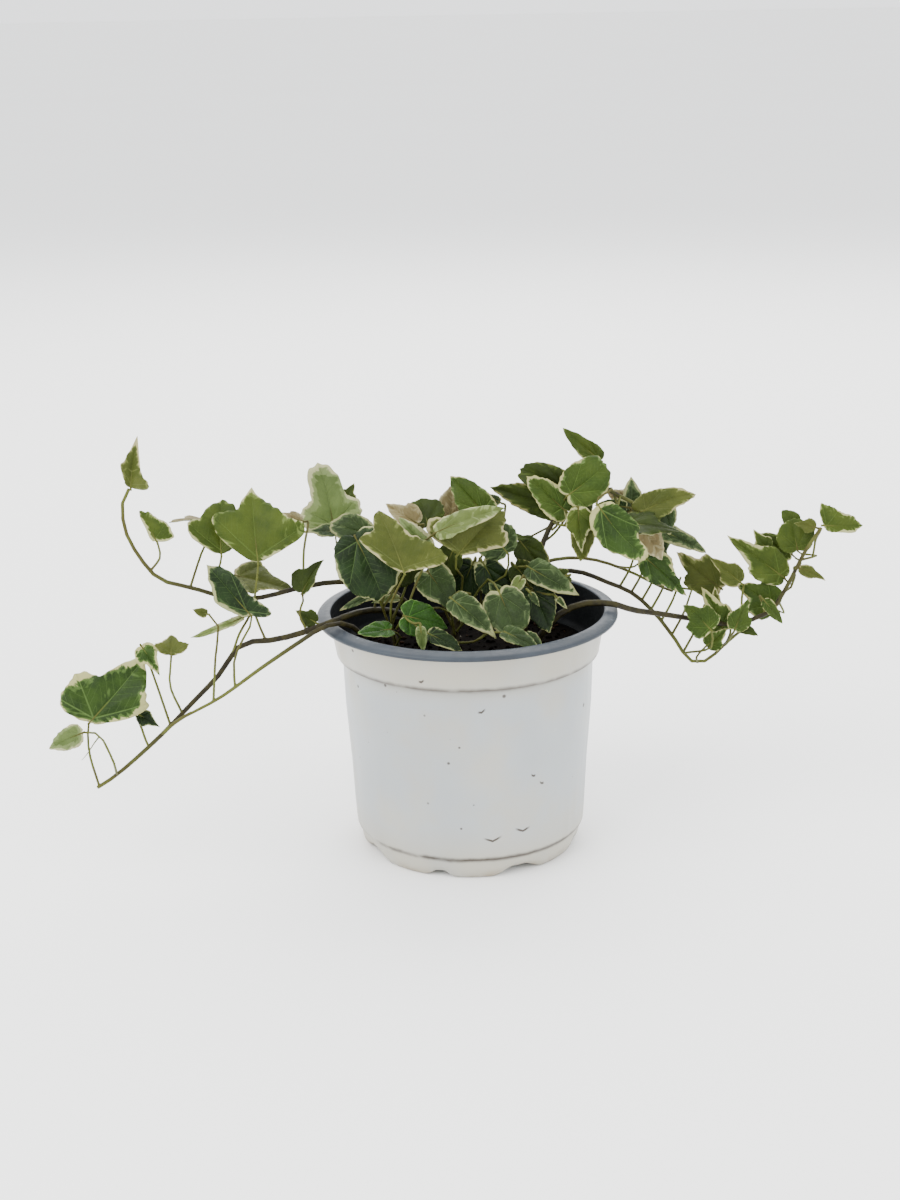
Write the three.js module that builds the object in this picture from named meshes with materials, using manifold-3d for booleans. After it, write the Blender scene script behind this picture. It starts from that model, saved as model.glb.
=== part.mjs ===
// Potted ivy: a trailing variegated ivy in a thin-walled nursery pot.
// Millimetres, +Z up. The pot's axis is Z, its foot stands on z = 0 and its front faces -Y.

import * as THREE from 'three';
import { mergeVertices } from 'three/addons/utils/BufferGeometryUtils.js';
import Module from 'manifold-3d';

const wasm = await Module();
wasm.setup();

// ---- Driving dimensions ----

const POT_HEIGHT = 116.3;
const RIM_RADIUS = 71.2;
const WALL = 1.2;
const COLLAR_BOTTOM = 96;
const BODY_BOTTOM = 10.6;
const BODY_BOTTOM_RADIUS = 55;
const BODY_TOP_RADIUS = 59.5;
const COLLAR_BOTTOM_RADIUS = 62.4;
const COLLAR_TOP_RADIUS = 65.8;
const FOOT_OUTER_RADIUS = 50.8;
const FOOT_INNER_RADIUS = 46;
const FLOOR_UNDERSIDE = 3.5;
const POT_SEGMENTS = 40;

const NOTCH_ANGLES = [-64, 26, 116, 206];
const WIDE_NOTCH = { width: 20, height: 3.4, turn: 0 };
const NARROW_NOTCH = { width: 8, height: 3, turn: -43 };
const ARCH_REACH = 16;
const FOOT_RING_MIDDLE = 49;
const DRAIN_RADIUS = 5;
const DRAIN_CIRCLE = 33;

const SOIL_MIDDLE = 97.6;
const SOIL_EDGE = 95;
const SOIL_GAP = 0.6;
const SOIL_SEGMENTS = 24;

const STEM_SIDES = 6;
const STALK_SIDES = 5;
const STALK_RADIUS = 0.62;
const STALK_TIP_RADIUS = 0.5;
const STALK_STEPS = 6;
const BLADE_THICKNESS = 0.7;
const BLADE_RINGS = [0, 0.55, 1, 0.55, 0];
const BLADE_LIFTS = [0.5, 0.42, 0, -0.42, -0.5];
const TOUCH_GAP = 0.35;
const STALK_APPROACH = 2.6;
const STALK_LEAN = { sideways: 0.3, behind: 0.6, below: 0.5 };
const BLADE_DROOP = 0.12;

// ---- Materials ----

const finish = (color, roughness) => new THREE.MeshStandardMaterial({ color, roughness, metalness: 0 });
const POT_FINISH = finish('#c9ccca', 0.5);
const SOIL_FINISH = finish('#1d1815', 0.95);
const STEM_FINISH = finish('#6b6535', 0.6);
const LEAF_FINISHES = {
  dark: finish('#2f4a14', 0.45),
  green: finish('#4f6f2a', 0.45),
  grey: finish('#7e8f78', 0.5),
  olive: finish('#7c8f3a', 0.5),
};

// ---- Leaf outlines: angle from the tip in degrees, radius as a share of the blade's length ----
// An outline that differs on its two sides gives each side, counter-clockwise one first.

const BULGE = [[0, 1], [8, 0.93], [16, 0.8], [24, 0.82], [34, 0.84], [40, 0.7], [46, 0.48], [56, 0.24],
  [90, 0.11], [180, 0.07]];
const LONG_LOBE = [[0, 1], [10, 0.84], [22, 0.66], [38, 0.57], [56, 0.58], [72, 0.63], [86, 0.72], [95, 0.74],
  [102, 0.68], [108, 0.48], [116, 0.22], [140, 0.1], [180, 0.07]];

const OUTLINES = {
  five: [[0, 1], [12, 0.82], [26, 0.66], [38, 0.72], [48, 0.78], [60, 0.66], [74, 0.58],
    [88, 0.56], [104, 0.38], [130, 0.18], [180, 0.07]],
  three: [[0, 1], [13, 0.76], [30, 0.58], [48, 0.62], [60, 0.62], [80, 0.48], [104, 0.32],
    [135, 0.17], [180, 0.07]],
  heart: [[0, 1], [14, 0.84], [34, 0.68], [60, 0.56], [90, 0.5], [120, 0.4], [148, 0.26], [180, 0.07]],
  spear: [[0, 1], [12, 0.72], [30, 0.44], [60, 0.28], [100, 0.2], [140, 0.12], [180, 0.07]],
  shield: [[0, 1], [15, 0.97], [32, 0.86], [52, 0.72], [74, 0.56], [100, 0.42], [130, 0.28], [155, 0.16],
    [180, 0.07]],
  oak: [[0, 1], [10, 0.96], [17, 0.84], [22, 0.66], [30, 0.53], [42, 0.53], [54, 0.56], [70, 0.52],
    [88, 0.42], [115, 0.2], [180, 0.07]],
  maple: [[0, 1], [14, 0.9], [27, 0.71], [38, 0.74], [46, 0.76], [58, 0.56], [74, 0.26], [110, 0.12],
    [180, 0.07]],
  broad: {
    left: [[0, 1], [10, 0.82], [22, 0.67], [33, 0.55], [50, 0.57], [64, 0.6], [82, 0.52], [101, 0.5],
      [117, 0.38], [135, 0.18], [180, 0.07]],
    right: [[0, 1], [8, 0.92], [19, 0.77], [30, 0.72], [37, 0.73], [45, 0.58], [53, 0.4], [64, 0.2],
      [110, 0.1], [180, 0.07]],
  },
  tall: {
    left: [[0, 1], [9, 0.86], [17, 0.76], [26, 0.8], [36, 0.86], [44, 0.84], [54, 0.62], [68, 0.3],
      [100, 0.13], [180, 0.07]],
    right: [[0, 1], [8, 0.88], [20, 0.78], [40, 0.74], [55, 0.76], [64, 0.8], [72, 0.68], [83, 0.34],
      [105, 0.14], [180, 0.07]],
  },
  twin: { left: BULGE, right: LONG_LOBE },
  gull: { left: LONG_LOBE, right: BULGE },
  winged: {
    left: [[0, 1], [8, 0.8], [17, 0.66], [26, 0.58], [34, 0.53], [42, 0.4], [60, 0.2], [110, 0.11], [180, 0.08]],
    right: [[0, 1], [8, 0.86], [20, 0.72], [27, 0.5], [45, 0.29], [75, 0.24], [110, 0.29], [137, 0.42],
      [148, 0.34], [162, 0.17], [180, 0.08]],
  },
  kite: {
    left: [[0, 1], [8, 0.82], [16, 0.68], [25, 0.66], [33, 0.56], [46, 0.38], [62, 0.28], [95, 0.19], [180, 0.07]],
    right: [[0, 1], [8, 0.92], [18, 0.75], [33, 0.58], [50, 0.42], [72, 0.3], [110, 0.16], [180, 0.07]],
  },
  wing: {
    left: [[0, 1], [8, 0.88], [18, 0.77], [35, 0.58], [54, 0.49], [75, 0.5], [95, 0.57], [108, 0.62],
      [121, 0.38], [140, 0.16], [180, 0.07]],
    right: [[0, 1], [7, 0.88], [14, 0.78], [21, 0.5], [32, 0.34], [60, 0.2], [100, 0.12], [180, 0.07]],
  },
  hooded: {
    left: [[0, 1], [5, 0.8], [11, 0.62], [20, 0.51], [30, 0.49], [38, 0.34], [60, 0.17], [110, 0.1], [180, 0.07]],
    right: [[0, 1], [6, 0.8], [13, 0.67], [24, 0.54], [44, 0.37], [62, 0.4], [78, 0.52], [92, 0.5],
      [104, 0.34], [120, 0.15], [180, 0.07]],
  },
  half: {
    left: [[0, 1], [6, 0.74], [12, 0.5], [24, 0.3], [60, 0.15], [110, 0.1], [180, 0.07]],
    right: [[0, 1], [8, 0.9], [18, 0.79], [32, 0.64], [46, 0.6], [64, 0.64], [84, 0.57], [100, 0.57],
      [115, 0.62], [128, 0.38], [148, 0.16], [180, 0.07]],
  },
};

// ---- The plant: each vine's route, and the leaves that it carries ----
// A leaf row gives the blade's base and tip, the way its upper side faces, its width beside its
// length where the outline's own is changed, its fold along the middle in degrees, and the stalk's
// route from the vine to the base.

const VINES = {
  upper_left: {
    radius: 1.5,
    route: [[-22, -6, 98.5], [-25, -6, 116], [-38, -9, 129], [-59, -14, 134], [-76, -18, 133], [-95, -20, 129],
      [-107, -22, 129], [-126, -26, 136], [-140, -28, 141], [-147, -30, 150], [-154, -30, 165],
      [-154, -30, 179], [-151, -30, 184]],
    leaves: [
      { base: [-64, 34, 148], tip: [-69, 43, 178], face: [0, -1, 0.3], kind: 'oak',
        fold: 10, shade: 'grey', stalk: [[-54, -13, 133], [-60, 10, 134]] },
      { base: [-106, -12, 137], tip: [-80, -16, 132], face: [0, -0.4, 1], kind: 'three', width: 0.9,
        fold: 10, shade: 'olive', stalk: [[-113, -23, 131], [-114, -14, 136]] },
      { base: [-112, -24, 153], tip: [-113, -16, 175], face: [0, -1, 0.3], kind: 'maple', width: 1.35,
        fold: 15, shade: 'green', stalk: [[-117, -24, 131], [-114, -27, 142]] },
      { base: [-122, -8, 163], tip: [-136, -14, 166], face: [0, 0.1, 1], kind: 'three', width: 1,
        fold: 10, shade: 'olive', stalk: [[-127, -26, 137], [-122, -12, 150], [-117, -7, 160]] },
      { base: [-141, -28, 160], tip: [-148, -24, 173], face: [0, -1, 0.3], kind: 'half',
        fold: 12, shade: 'green', stalk: [[-144, -28, 145], [-139, -30, 152]] },
      { base: [-150, -30, 186], tip: [-148, -27, 206.5], face: [-0.2, -1, 0.2], kind: 'hooded',
        fold: 30, shade: 'olive', stalk: [] },
    ],
  },
  lower_left: {
    radius: 1.7,
    route: [[-20, 8, 98.5], [-28, 2, 111], [-39, -5, 117], [-50, -15, 119.5], [-63, -29, 119.2], [-75, -33, 116],
      [-88, -34, 113], [-104, -35, 111], [-114, -37, 98], [-127, -39, 85], [-144, -40, 68],
      [-164, -42, 51], [-173, -42, 45]],
    leaves: [
      { base: [-46, -7, 155], tip: [-63, -5, 160], face: [0, -0.8, 0.6], kind: 'shield', width: 0.85,
        fold: 12, shade: 'grey', stalk: [[-44, -9, 118], [-41, -3, 138]] },
      { base: [-75, -26, 134], tip: [-68, -20, 148], face: [-0.6, -0.7, 0.3], kind: 'three', width: 0.9,
        fold: 30, shade: 'dark', stalk: [[-74, -33, 116], [-77, -31, 124]] },
      { base: [-95, -30, 151], tip: [-98, -20, 181], face: [0, -1, 0.3], kind: 'tall',
        fold: 10, shade: 'olive', stalk: [[-93, -34, 114], [-97, -34, 127]] },
      { base: [-135, -42, 110], tip: [-136, -34, 117], face: [0.2, -1, 0.5], kind: 'three', width: 1.5,
        fold: 20, shade: 'green', stalk: [[-132, -39, 80], [-136, -45, 96]] },
      { base: [-148, -40, 112], tip: [-140, -46, 102], face: [0.3, -1, 0.2], kind: 'three', width: 0.8,
        fold: 15, shade: 'dark', stalk: [[-138, -40, 74], [-144, -33, 92], [-149, -31, 108]] },
      { base: [-172, -44, 80], tip: [-147, -37, 106], face: [0, -1, 0.3], kind: 'broad',
        fold: 8, shade: 'green', stalk: [[-172, -42, 46], [-175, -45, 64]] },
      { base: [-178, -48, 74], tip: [-195, -44, 66], face: [0, -1, 0.6], kind: 'spear', width: 0.6,
        fold: 10, shade: 'grey', stalk: [[-164, -42, 51], [-163, -52, 62], [-168, -53, 75]] },
    ],
  },
  lower_left_branch: {
    radius: 1.3,
    route: [[-45, -22, 98.5], [-49, -26, 112], [-57, -32, 119.5], [-66, -38, 119.8], [-75, -41, 115],
      [-94, -44, 103], [-114, -45, 89], [-131, -45, 80]],
    leaves: [
      { base: [-100, -38, 128], tip: [-118, -33, 149], face: [0, -1, 0.3], kind: 'winged',
        fold: 14, shade: 'dark', stalk: [[-107, -45, 95], [-106, -44, 108]] },
      { base: [-117, -50, 131], tip: [-123, -50, 133], face: [0, -1, 0.3], kind: 'spear', width: 0.7,
        fold: 30, shade: 'olive', stalk: [[-117, -45, 88], [-114, -50, 110], [-112, -50, 126]] },
    ],
  },
  crown_left: {
    radius: 2,
    route: [[-33, -17, 98.5], [-34, -16, 106], [-37, -14, 113]],
    leaves: [
      { base: [-37, -35, 117], tip: [-50, -40, 118], face: [0, -0.5, 1], kind: 'heart', width: 0.8,
        fold: 10, shade: 'green', stalk: [[-34, -17, 101], [-33, -25, 107], [-31, -31, 113]] },
      { base: [-29, -42, 148], tip: [-38, -33, 173], face: [0.1, -1, 0.3], kind: 'twin',
        fold: 8, shade: 'olive', stalk: [[-34, -16, 104], [-35, -26, 116], [-34, -40, 134]] },
      { base: [-50, -20, 155], tip: [-38, -33, 133], face: [0, -1, 0.5], kind: 'shield', width: 1.05,
        fold: 10, shade: 'dark', stalk: [[-35, -15, 110], [-41, -20, 128], [-46, -14, 148]] },
    ],
  },
  crown_middle: {
    radius: 2.2,
    route: [[-6, -8, 98.5], [-6, -6, 108], [-2, -2, 122], [2, 0, 134]],
    leaves: [
      { base: [-27, -38, 124], tip: [-9, -35, 119], face: [0, -0.8, 0.6], kind: 'heart', width: 0.95,
        fold: 10, shade: 'green', stalk: [[-6, -8, 102], [-9, -16, 120]] },
      { base: [-17, -22, 139], tip: [-6, -33, 127], face: [0, -1, 0.4], kind: 'heart', width: 0.9,
        fold: 12, shade: 'grey', stalk: [[-6, -6, 106], [-16, -12, 132]] },
      { base: [-6, -38, 131], tip: [13, -47, 118], face: [0.3, -0.8, 0.6], kind: 'spear', width: 0.55,
        fold: 15, shade: 'grey', stalk: [[-6, -7, 105], [0, -18, 118], [0, -30, 134]] },
      { base: [15, -30, 131], tip: [22, -42, 116], face: [0, -1, 0.5], kind: 'shield', width: 1.05,
        fold: 8, shade: 'grey', stalk: [[-5, -5, 108], [10, -14, 134]] },
      { base: [18, -47, 118], tip: [32, -52, 113], face: [0, -0.5, 1], kind: 'heart', width: 0.7,
        fold: 10, shade: 'olive', stalk: [[-6, -8, 101], [4, -32, 110], [11, -43, 118]] },
      { base: [31, -14, 127], tip: [38, -28, 113], face: [0, -1, 0.5], kind: 'heart', width: 0.85,
        fold: 12, shade: 'dark', stalk: [[-5, -5, 107], [18, -4, 128]] },
      { base: [-12, -34, 163], tip: [16.5, -30, 175], face: [0, -0.6, 0.8], kind: 'spear', width: 0.4,
        fold: 15, shade: 'olive', stalk: [[-3, -3, 118], [-17, -12, 144], [-20, -32, 158]] },
      { base: [-3, -30, 152], tip: [15.5, -22, 171], face: [0, -1, 0.3], kind: 'gull',
        fold: 12, shade: 'green', stalk: [[-5, -5, 112], [-2, -12, 134], [-5, -25, 142]] },
      { base: [-18, 6, 156], tip: [-21, 12, 167], face: [0, -1, 0.5], kind: 'shield', width: 1.5,
        fold: 12, shade: 'dark', stalk: [[-2, -2, 121], [-16, 2, 142]] },
      { base: [8, 14, 159], tip: [-7, 20, 176], face: [0, -1, 0.3], kind: 'heart', width: 0.7,
        fold: 12, shade: 'green', stalk: [[1, 0, 132], [10, 10, 144]] },
      { base: [43, 19, 160], tip: [12.5, 17, 170], face: [0, -1, 0.4], kind: 'heart', width: 0.5,
        fold: 12, shade: 'dark', stalk: [[1, 0, 130], [26, 20, 142], [50, 25, 154]] },
      { base: [18, -8, 146], tip: [5, -5, 163], face: [0, -1, 0.4], kind: 'three', width: 0.95,
        fold: 12, shade: 'grey', stalk: [[-1, -1, 125], [18, -8, 134]] },
    ],
  },
  top_right: {
    radius: 1.7,
    route: [[27, 4, 98.5], [28, 3, 116], [33, 2, 136], [37, 4, 148], [43, 6, 159], [50, 6, 166],
      [63, 8, 171], [73, 12, 166], [83, 14, 160]],
    leaves: [
      { base: [30, -12, 138], tip: [51, -22, 128], face: [0, -0.8, 0.7], kind: 'spear', width: 0.55,
        fold: 15, shade: 'green', stalk: [[31, 2, 128], [24, -5, 137]] },
      { base: [52, -8, 164], tip: [53, -12, 145], face: [0.2, -1, 0.3], kind: 'three', width: 0.7,
        fold: 12, shade: 'green', stalk: [[41, 5, 156], [46, -8, 158]] },
      { base: [48.5, 12, 170], tip: [26.5, 15, 180], face: [0, -1, 0.3], kind: 'shield', width: 0.65,
        fold: 12, shade: 'green', stalk: [[48, 6, 164], [53, 11, 168]] },
      { base: [49, -1, 171], tip: [66.5, 3, 183], face: [0, -1, 0.3], kind: 'shield', width: 1,
        fold: 12, shade: 'green', stalk: [[45, 6, 161], [45, 3, 165]] },
      { base: [62, -12, 166], tip: [80, -19, 141], face: [0, -1, 0.3], kind: 'kite',
        fold: 10, shade: 'green', stalk: [[66, 9, 170], [68, -3, 173]] },
      { base: [63, 18, 183], tip: [46, 18, 197], face: [0, -1, 0.3], kind: 'spear', width: 0.45,
        fold: 15, shade: 'olive', stalk: [[62, 8, 171], [67, 15, 177]] },
      { base: [79, 22, 156], tip: [81, 23, 172], face: [0.3, -1, 0.1], kind: 'spear', width: 0.8,
        fold: 15, shade: 'grey', stalk: [[70, 11, 168], [75, 20, 152]] },
      { base: [76, 2, 155], tip: [102, -2, 155], face: [0, -0.4, 1], kind: 'three', width: 0.7,
        fold: 10, shade: 'olive', stalk: [[73, 12, 166], [71, 4, 160]] },
      { base: [85, 10, 159.5], tip: [107, 13, 170], face: [0, -0.8, 0.6], kind: 'heart', width: 0.62,
        fold: 12, shade: 'olive', stalk: [] },
    ],
  },
  right_long: {
    radius: 1.7,
    route: [[30, -14, 98.5], [38, -14, 112], [52, -10, 119.5], [68, -7, 118.8], [78, -2, 114], [90, 8, 109],
      [110, 16, 103], [125, 20, 99], [138, 22, 100], [149, 24, 105], [157, 27, 117], [165, 30, 132],
      [173, 33, 143]],
    leaves: [
      { base: [121, 26, 100], tip: [122, 30, 115], face: [0, -1, 0.3], kind: 'three', width: 0.7,
        fold: 20, shade: 'olive', stalk: [[112, 17, 102], [117, 26, 94]] },
      { base: [150, 31, 104], tip: [135, 34, 116], face: [0, -1, 0.3], kind: 'five', width: 1,
        fold: 10, shade: 'green', stalk: [[152, 25, 109], [156, 32, 100]] },
      { base: [154, 35, 119], tip: [129, 39, 138], face: [0, -1, 0.4], kind: 'three', width: 0.6,
        fold: 15, shade: 'green', stalk: [[154, 26, 113], [160, 34, 114]] },
      { base: [162.5, 38, 132], tip: [160, 42, 145.5], face: [0, -1, 0.3], kind: 'shield', width: 1.35,
        fold: 10, shade: 'green', stalk: [[163, 29, 128], [172, 37, 128]] },
      { base: [175.5, 33, 144], tip: [194, 34, 143], face: [0, -1, 0.3], kind: 'wing',
        fold: 15, shade: 'green', stalk: [] },
      { base: [159.5, 45, 127.5], tip: [144.5, 48, 135], face: [0, -1, 0.3], kind: 'shield', width: 0.7,
        fold: 12, shade: 'olive', stalk: [[159, 28, 122], [165, 40, 124]] },
    ],
  },
  right_low: {
    radius: 1.4,
    route: [[20, 24, 98.5], [28, 32, 112], [44, 40, 121], [57, 42, 120], [69, 42, 115], [82, 42, 109],
      [93, 36, 100], [102, 30, 89], [110, 27, 78], [117, 26, 78], [128, 28, 87], [137, 32, 93]],
    leaves: [
      { base: [116, 8, 101], tip: [105, 10, 113], face: [0, -1, 0.3], kind: 'five', width: 1,
        fold: 10, shade: 'green', stalk: [[107, 28, 82], [118, 12, 90]] },
      { base: [117, 16, 90], tip: [126, 16, 98], face: [0, -1, 0.3], kind: 'three', width: 0.9,
        fold: 12, shade: 'green', stalk: [[113, 27, 77], [112, 19, 83]] },
    ],
  },
  right_short: {
    radius: 1.2,
    route: [[10, 34, 98.5], [18, 42, 112], [36, 50, 122], [50, 54, 124], [64, 54, 123], [83, 54, 116],
      [96, 50, 110], [103, 46, 108]],
    leaves: [
      { base: [125, 44, 111], tip: [104, 49, 126], face: [0, -1, 0.3], kind: 'five', width: 0.75,
        fold: 10, shade: 'olive', stalk: [[95, 50, 110], [96, 45, 112]] },
      { base: [90, 46, 126], tip: [104, 50, 137], face: [0, -1, 0.3], kind: 'three', width: 0.9,
        fold: 12, shade: 'grey', stalk: [[76, 54, 119], [83, 46, 121]] },
    ],
  },
};

// ---- Helpers ----

const vector = ([x, y, z]) => new THREE.Vector3(x, y, z);
const along = (points) => new THREE.CatmullRomCurve3(points, false, 'centripetal');

/** One vertex for each place, so that neighbouring triangles share it. */
function welded(geometry) {
  geometry.deleteAttribute('normal');
  geometry.deleteAttribute('uv');
  return mergeVertices(geometry, 1e-5);
}

/** A closed solid from a closed geometry, for joining and cutting. */
function solidOf(geometry) {
  const mesh = welded(geometry);
  const vertProperties = new Float32Array(mesh.attributes.position.array);
  const triVerts = new Uint32Array(mesh.index.array);
  return new wasm.Manifold(new wasm.Mesh({ numProp: 3, vertProperties, triVerts }));
}

function geometryOf(solid) {
  const { vertProperties, triVerts } = solid.getMesh();
  const geometry = new THREE.BufferGeometry();
  geometry.setAttribute('position', new THREE.BufferAttribute(new Float32Array(vertProperties), 3));
  geometry.setIndex(new THREE.BufferAttribute(new Uint32Array(triVerts), 1));
  return geometry;
}

/** A solid of revolution about Z, from its outline of [radius, height] points on and off the axis. */
function turned(outline, segments) {
  const points = outline.map(([radius, height]) => new THREE.Vector2(radius, height));
  return new THREE.LatheGeometry(points, segments).rotateX(Math.PI / 2);
}

function named(name, geometry, material) {
  const mesh = new THREE.Mesh(geometry, material);
  mesh.name = name;
  return mesh;
}

// ---- Pot ----

/** A thin moulded pot: body, overhanging collar, flat lip and a hollow ring for a foot. */
function potWall() {
  return turned([
    [0, FLOOR_UNDERSIDE],
    [FOOT_INNER_RADIUS - 1.5, FLOOR_UNDERSIDE],
    [FOOT_INNER_RADIUS, 0],
    [FOOT_OUTER_RADIUS, 0],
    [FOOT_OUTER_RADIUS + 1.6, 2.5],
    [BODY_BOTTOM_RADIUS - 1.6, BODY_BOTTOM - 1.4],
    [BODY_BOTTOM_RADIUS, BODY_BOTTOM],
    [BODY_TOP_RADIUS - 2.8, 42],
    [BODY_TOP_RADIUS - 0.6, 71],
    [BODY_TOP_RADIUS, COLLAR_BOTTOM - 0.6],
    [COLLAR_BOTTOM_RADIUS, COLLAR_BOTTOM],
    [COLLAR_TOP_RADIUS, POT_HEIGHT - 3.8],
    [RIM_RADIUS - 0.4, POT_HEIGHT - 3.4],
    [RIM_RADIUS, POT_HEIGHT - 2.6],
    [RIM_RADIUS - 0.8, POT_HEIGHT - 1.6],
    [COLLAR_TOP_RADIUS, POT_HEIGHT],
    [COLLAR_TOP_RADIUS - WALL, POT_HEIGHT - 1],
    [COLLAR_BOTTOM_RADIUS - WALL, COLLAR_BOTTOM + WALL],
    [BODY_TOP_RADIUS - WALL, COLLAR_BOTTOM - 0.6],
    [BODY_TOP_RADIUS - 0.6 - WALL, 71],
    [BODY_TOP_RADIUS - 2.8 - WALL, 42],
    [BODY_BOTTOM_RADIUS - WALL, BODY_BOTTOM + WALL],
    [BODY_BOTTOM_RADIUS - 1.6 - WALL, BODY_BOTTOM - 1.4 + WALL / 2],
    [FOOT_OUTER_RADIUS + 1.6 - WALL, 2.5 + WALL / 2],
    [FOOT_OUTER_RADIUS - WALL / 2, WALL],
    [FOOT_INNER_RADIUS + WALL / 2, WALL],
    [FOOT_INNER_RADIUS - 0.6, FLOOR_UNDERSIDE + WALL],
    [0, FLOOR_UNDERSIDE + WALL],
  ], POT_SEGMENTS);
}

/** A block that cuts one arch through the foot ring. */
function archCutter({ width, height }, angle) {
  const arch = new THREE.Shape();
  arch.moveTo(-width / 2, -1);
  arch.lineTo(width / 2, -1);
  arch.lineTo(width / 2 - 1, height - 1);
  arch.lineTo(width / 2 - 2.5, height);
  arch.lineTo(2.5 - width / 2, height);
  arch.lineTo(1 - width / 2, height - 1);
  const cutter = new THREE.ExtrudeGeometry(arch, { depth: ARCH_REACH, bevelEnabled: false });
  cutter.rotateX(Math.PI / 2).translate(0, ARCH_REACH / 2 - FOOT_RING_MIDDLE, 0);
  return cutter.rotateZ(THREE.MathUtils.degToRad(angle + 90));
}

function drainCutter(angle) {
  const drill = new THREE.CylinderGeometry(DRAIN_RADIUS, DRAIN_RADIUS, 8, 12).rotateX(Math.PI / 2);
  const turn = THREE.MathUtils.degToRad(angle);
  return drill.translate(DRAIN_CIRCLE * Math.cos(turn), DRAIN_CIRCLE * Math.sin(turn), FLOOR_UNDERSIDE);
}

function pot() {
  let solid = solidOf(potWall());
  for (const angle of NOTCH_ANGLES) {
    for (const notch of [WIDE_NOTCH, NARROW_NOTCH]) {
      solid = solid.subtract(solidOf(archCutter(notch, angle + notch.turn)));
    }
    solid = solid.subtract(solidOf(drainCutter(angle)));
  }
  return named('pot', geometryOf(solid), POT_FINISH);
}

// ---- Soil ----

/** The height of the loose top of the soil, domed a little and uneven. */
function soilTop(x, y) {
  const dome = (SOIL_MIDDLE - SOIL_EDGE) * (1 - Math.hypot(x, y) / BODY_TOP_RADIUS);
  const lumps = 0.5 * Math.sin(x / 9 + 1) * Math.cos(y / 7) + 0.3 * Math.sin((x - y) / 5);
  return SOIL_EDGE + dome + lumps;
}

/** The root ball: it fills the pot up to the loose top. */
function soil() {
  const floor = FLOOR_UNDERSIDE + WALL + SOIL_GAP;
  const inset = WALL + SOIL_GAP;
  const edge = BODY_TOP_RADIUS - inset - 0.2;
  const geometry = turned([
    [0, floor],
    [FOOT_OUTER_RADIUS + 1 - inset, floor],
    [BODY_BOTTOM_RADIUS - 1.7 - inset, BODY_BOTTOM],
    [BODY_BOTTOM_RADIUS - 0.1 - inset, BODY_BOTTOM + WALL + 1],
    [BODY_TOP_RADIUS - 2.9 - inset, 42],
    [BODY_TOP_RADIUS - 0.7 - inset, 71],
    [edge, SOIL_EDGE - 2.5],
    [edge, SOIL_EDGE],
    [46, SOIL_EDGE],
    [34, SOIL_EDGE],
    [22, SOIL_EDGE],
    [10, SOIL_EDGE],
    [0, SOIL_EDGE],
  ], SOIL_SEGMENTS);
  const position = geometry.attributes.position;
  for (let i = 0; i < position.count; i += 1) {
    if (position.getZ(i) > SOIL_EDGE - 1) {
      position.setZ(i, soilTop(position.getX(i), position.getY(i)));
    }
  }
  return named('soil', geometryOf(solidOf(geometry)), SOIL_FINISH);
}

// ---- Stems and stalks ----

/** A tapered round stem along a curve, closed at both ends. */
function stem(curve, startRadius, endRadius, sides, steps) {
  const geometry = new THREE.CylinderGeometry(endRadius, startRadius, 1, sides, steps);
  const { normals, binormals } = curve.computeFrenetFrames(steps);
  const position = geometry.attributes.position;
  for (let i = 0; i < position.count; i += 1) {
    const step = Math.round((position.getY(i) + 0.5) * steps);
    const place = curve.getPointAt(step / steps);
    place.addScaledVector(normals[step], position.getX(i));
    place.addScaledVector(binormals[step], -position.getZ(i));
    position.setXYZ(i, place.x, place.y, place.z);
  }
  return solidOf(geometry);
}

function nearestOn(curve, target) {
  const samples = curve.getSpacedPoints(200);
  return samples.reduce((best, point) => (point.distanceTo(target) < best.distanceTo(target) ? point : best));
}

/** The two sides of an outline, which most leaves share. */
function outlineSides(kind) {
  const outline = OUTLINES[kind];
  return Array.isArray(outline) ? { left: outline, right: outline } : outline;
}

/** The blade's own directions: to its tip, across it, and out of its upper side. */
function bladeAxes({ base, tip, face }) {
  const forward = vector(tip).sub(vector(base)).normalize();
  const side = new THREE.Vector3().crossVectors(vector(face), forward).normalize();
  const up = new THREE.Vector3().crossVectors(forward, side);
  return { forward, side, up };
}

/** A leaf's stalk, from inside its vine to just short of the blade's notch, which it meets from behind. */
function stalk(vineCurve, leaf) {
  const { forward, side, up } = bladeAxes(leaf);
  const length = vector(leaf.base).distanceTo(vector(leaf.tip));
  const gap = outlineSides(leaf.kind).left.at(-1)[1] * length + STALK_TIP_RADIUS + TOUCH_GAP;
  const end = vector(leaf.base).addScaledVector(forward, -gap).addScaledVector(up, -STALK_TIP_RADIUS);
  const [start, ...middle] = leaf.stalk.map(vector);
  const last = (middle.at(-1) ?? start).clone().sub(end).normalize();
  const approach = new THREE.Vector3()
    .addScaledVector(side, THREE.MathUtils.clamp(last.dot(side), -STALK_LEAN.sideways, STALK_LEAN.sideways))
    .addScaledVector(up, Math.min(last.dot(up), -STALK_LEAN.behind))
    .addScaledVector(forward, Math.min(last.dot(forward), -STALK_LEAN.below))
    .setLength(STALK_APPROACH).add(end);
  const route = [nearestOn(vineCurve, start), ...middle, approach, end];
  return stem(along(route), STALK_RADIUS, STALK_TIP_RADIUS, STALK_SIDES, STALK_STEPS);
}

/** A vine: its main stem with the stalks of its leaves, grown together as one piece. */
function vine(name, { radius, route, leaves }) {
  const curve = along(route.map(vector));
  let solid = stem(curve, radius, radius * 0.5, STEM_SIDES, 2 * route.length);
  for (const leaf of leaves) {
    if (leaf.stalk.length > 0) {
      solid = solid.add(stalk(curve, leaf));
    }
  }
  return named(`vine_${name}`, geometryOf(solid), STEM_FINISH);
}

// ---- Leaves ----

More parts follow.
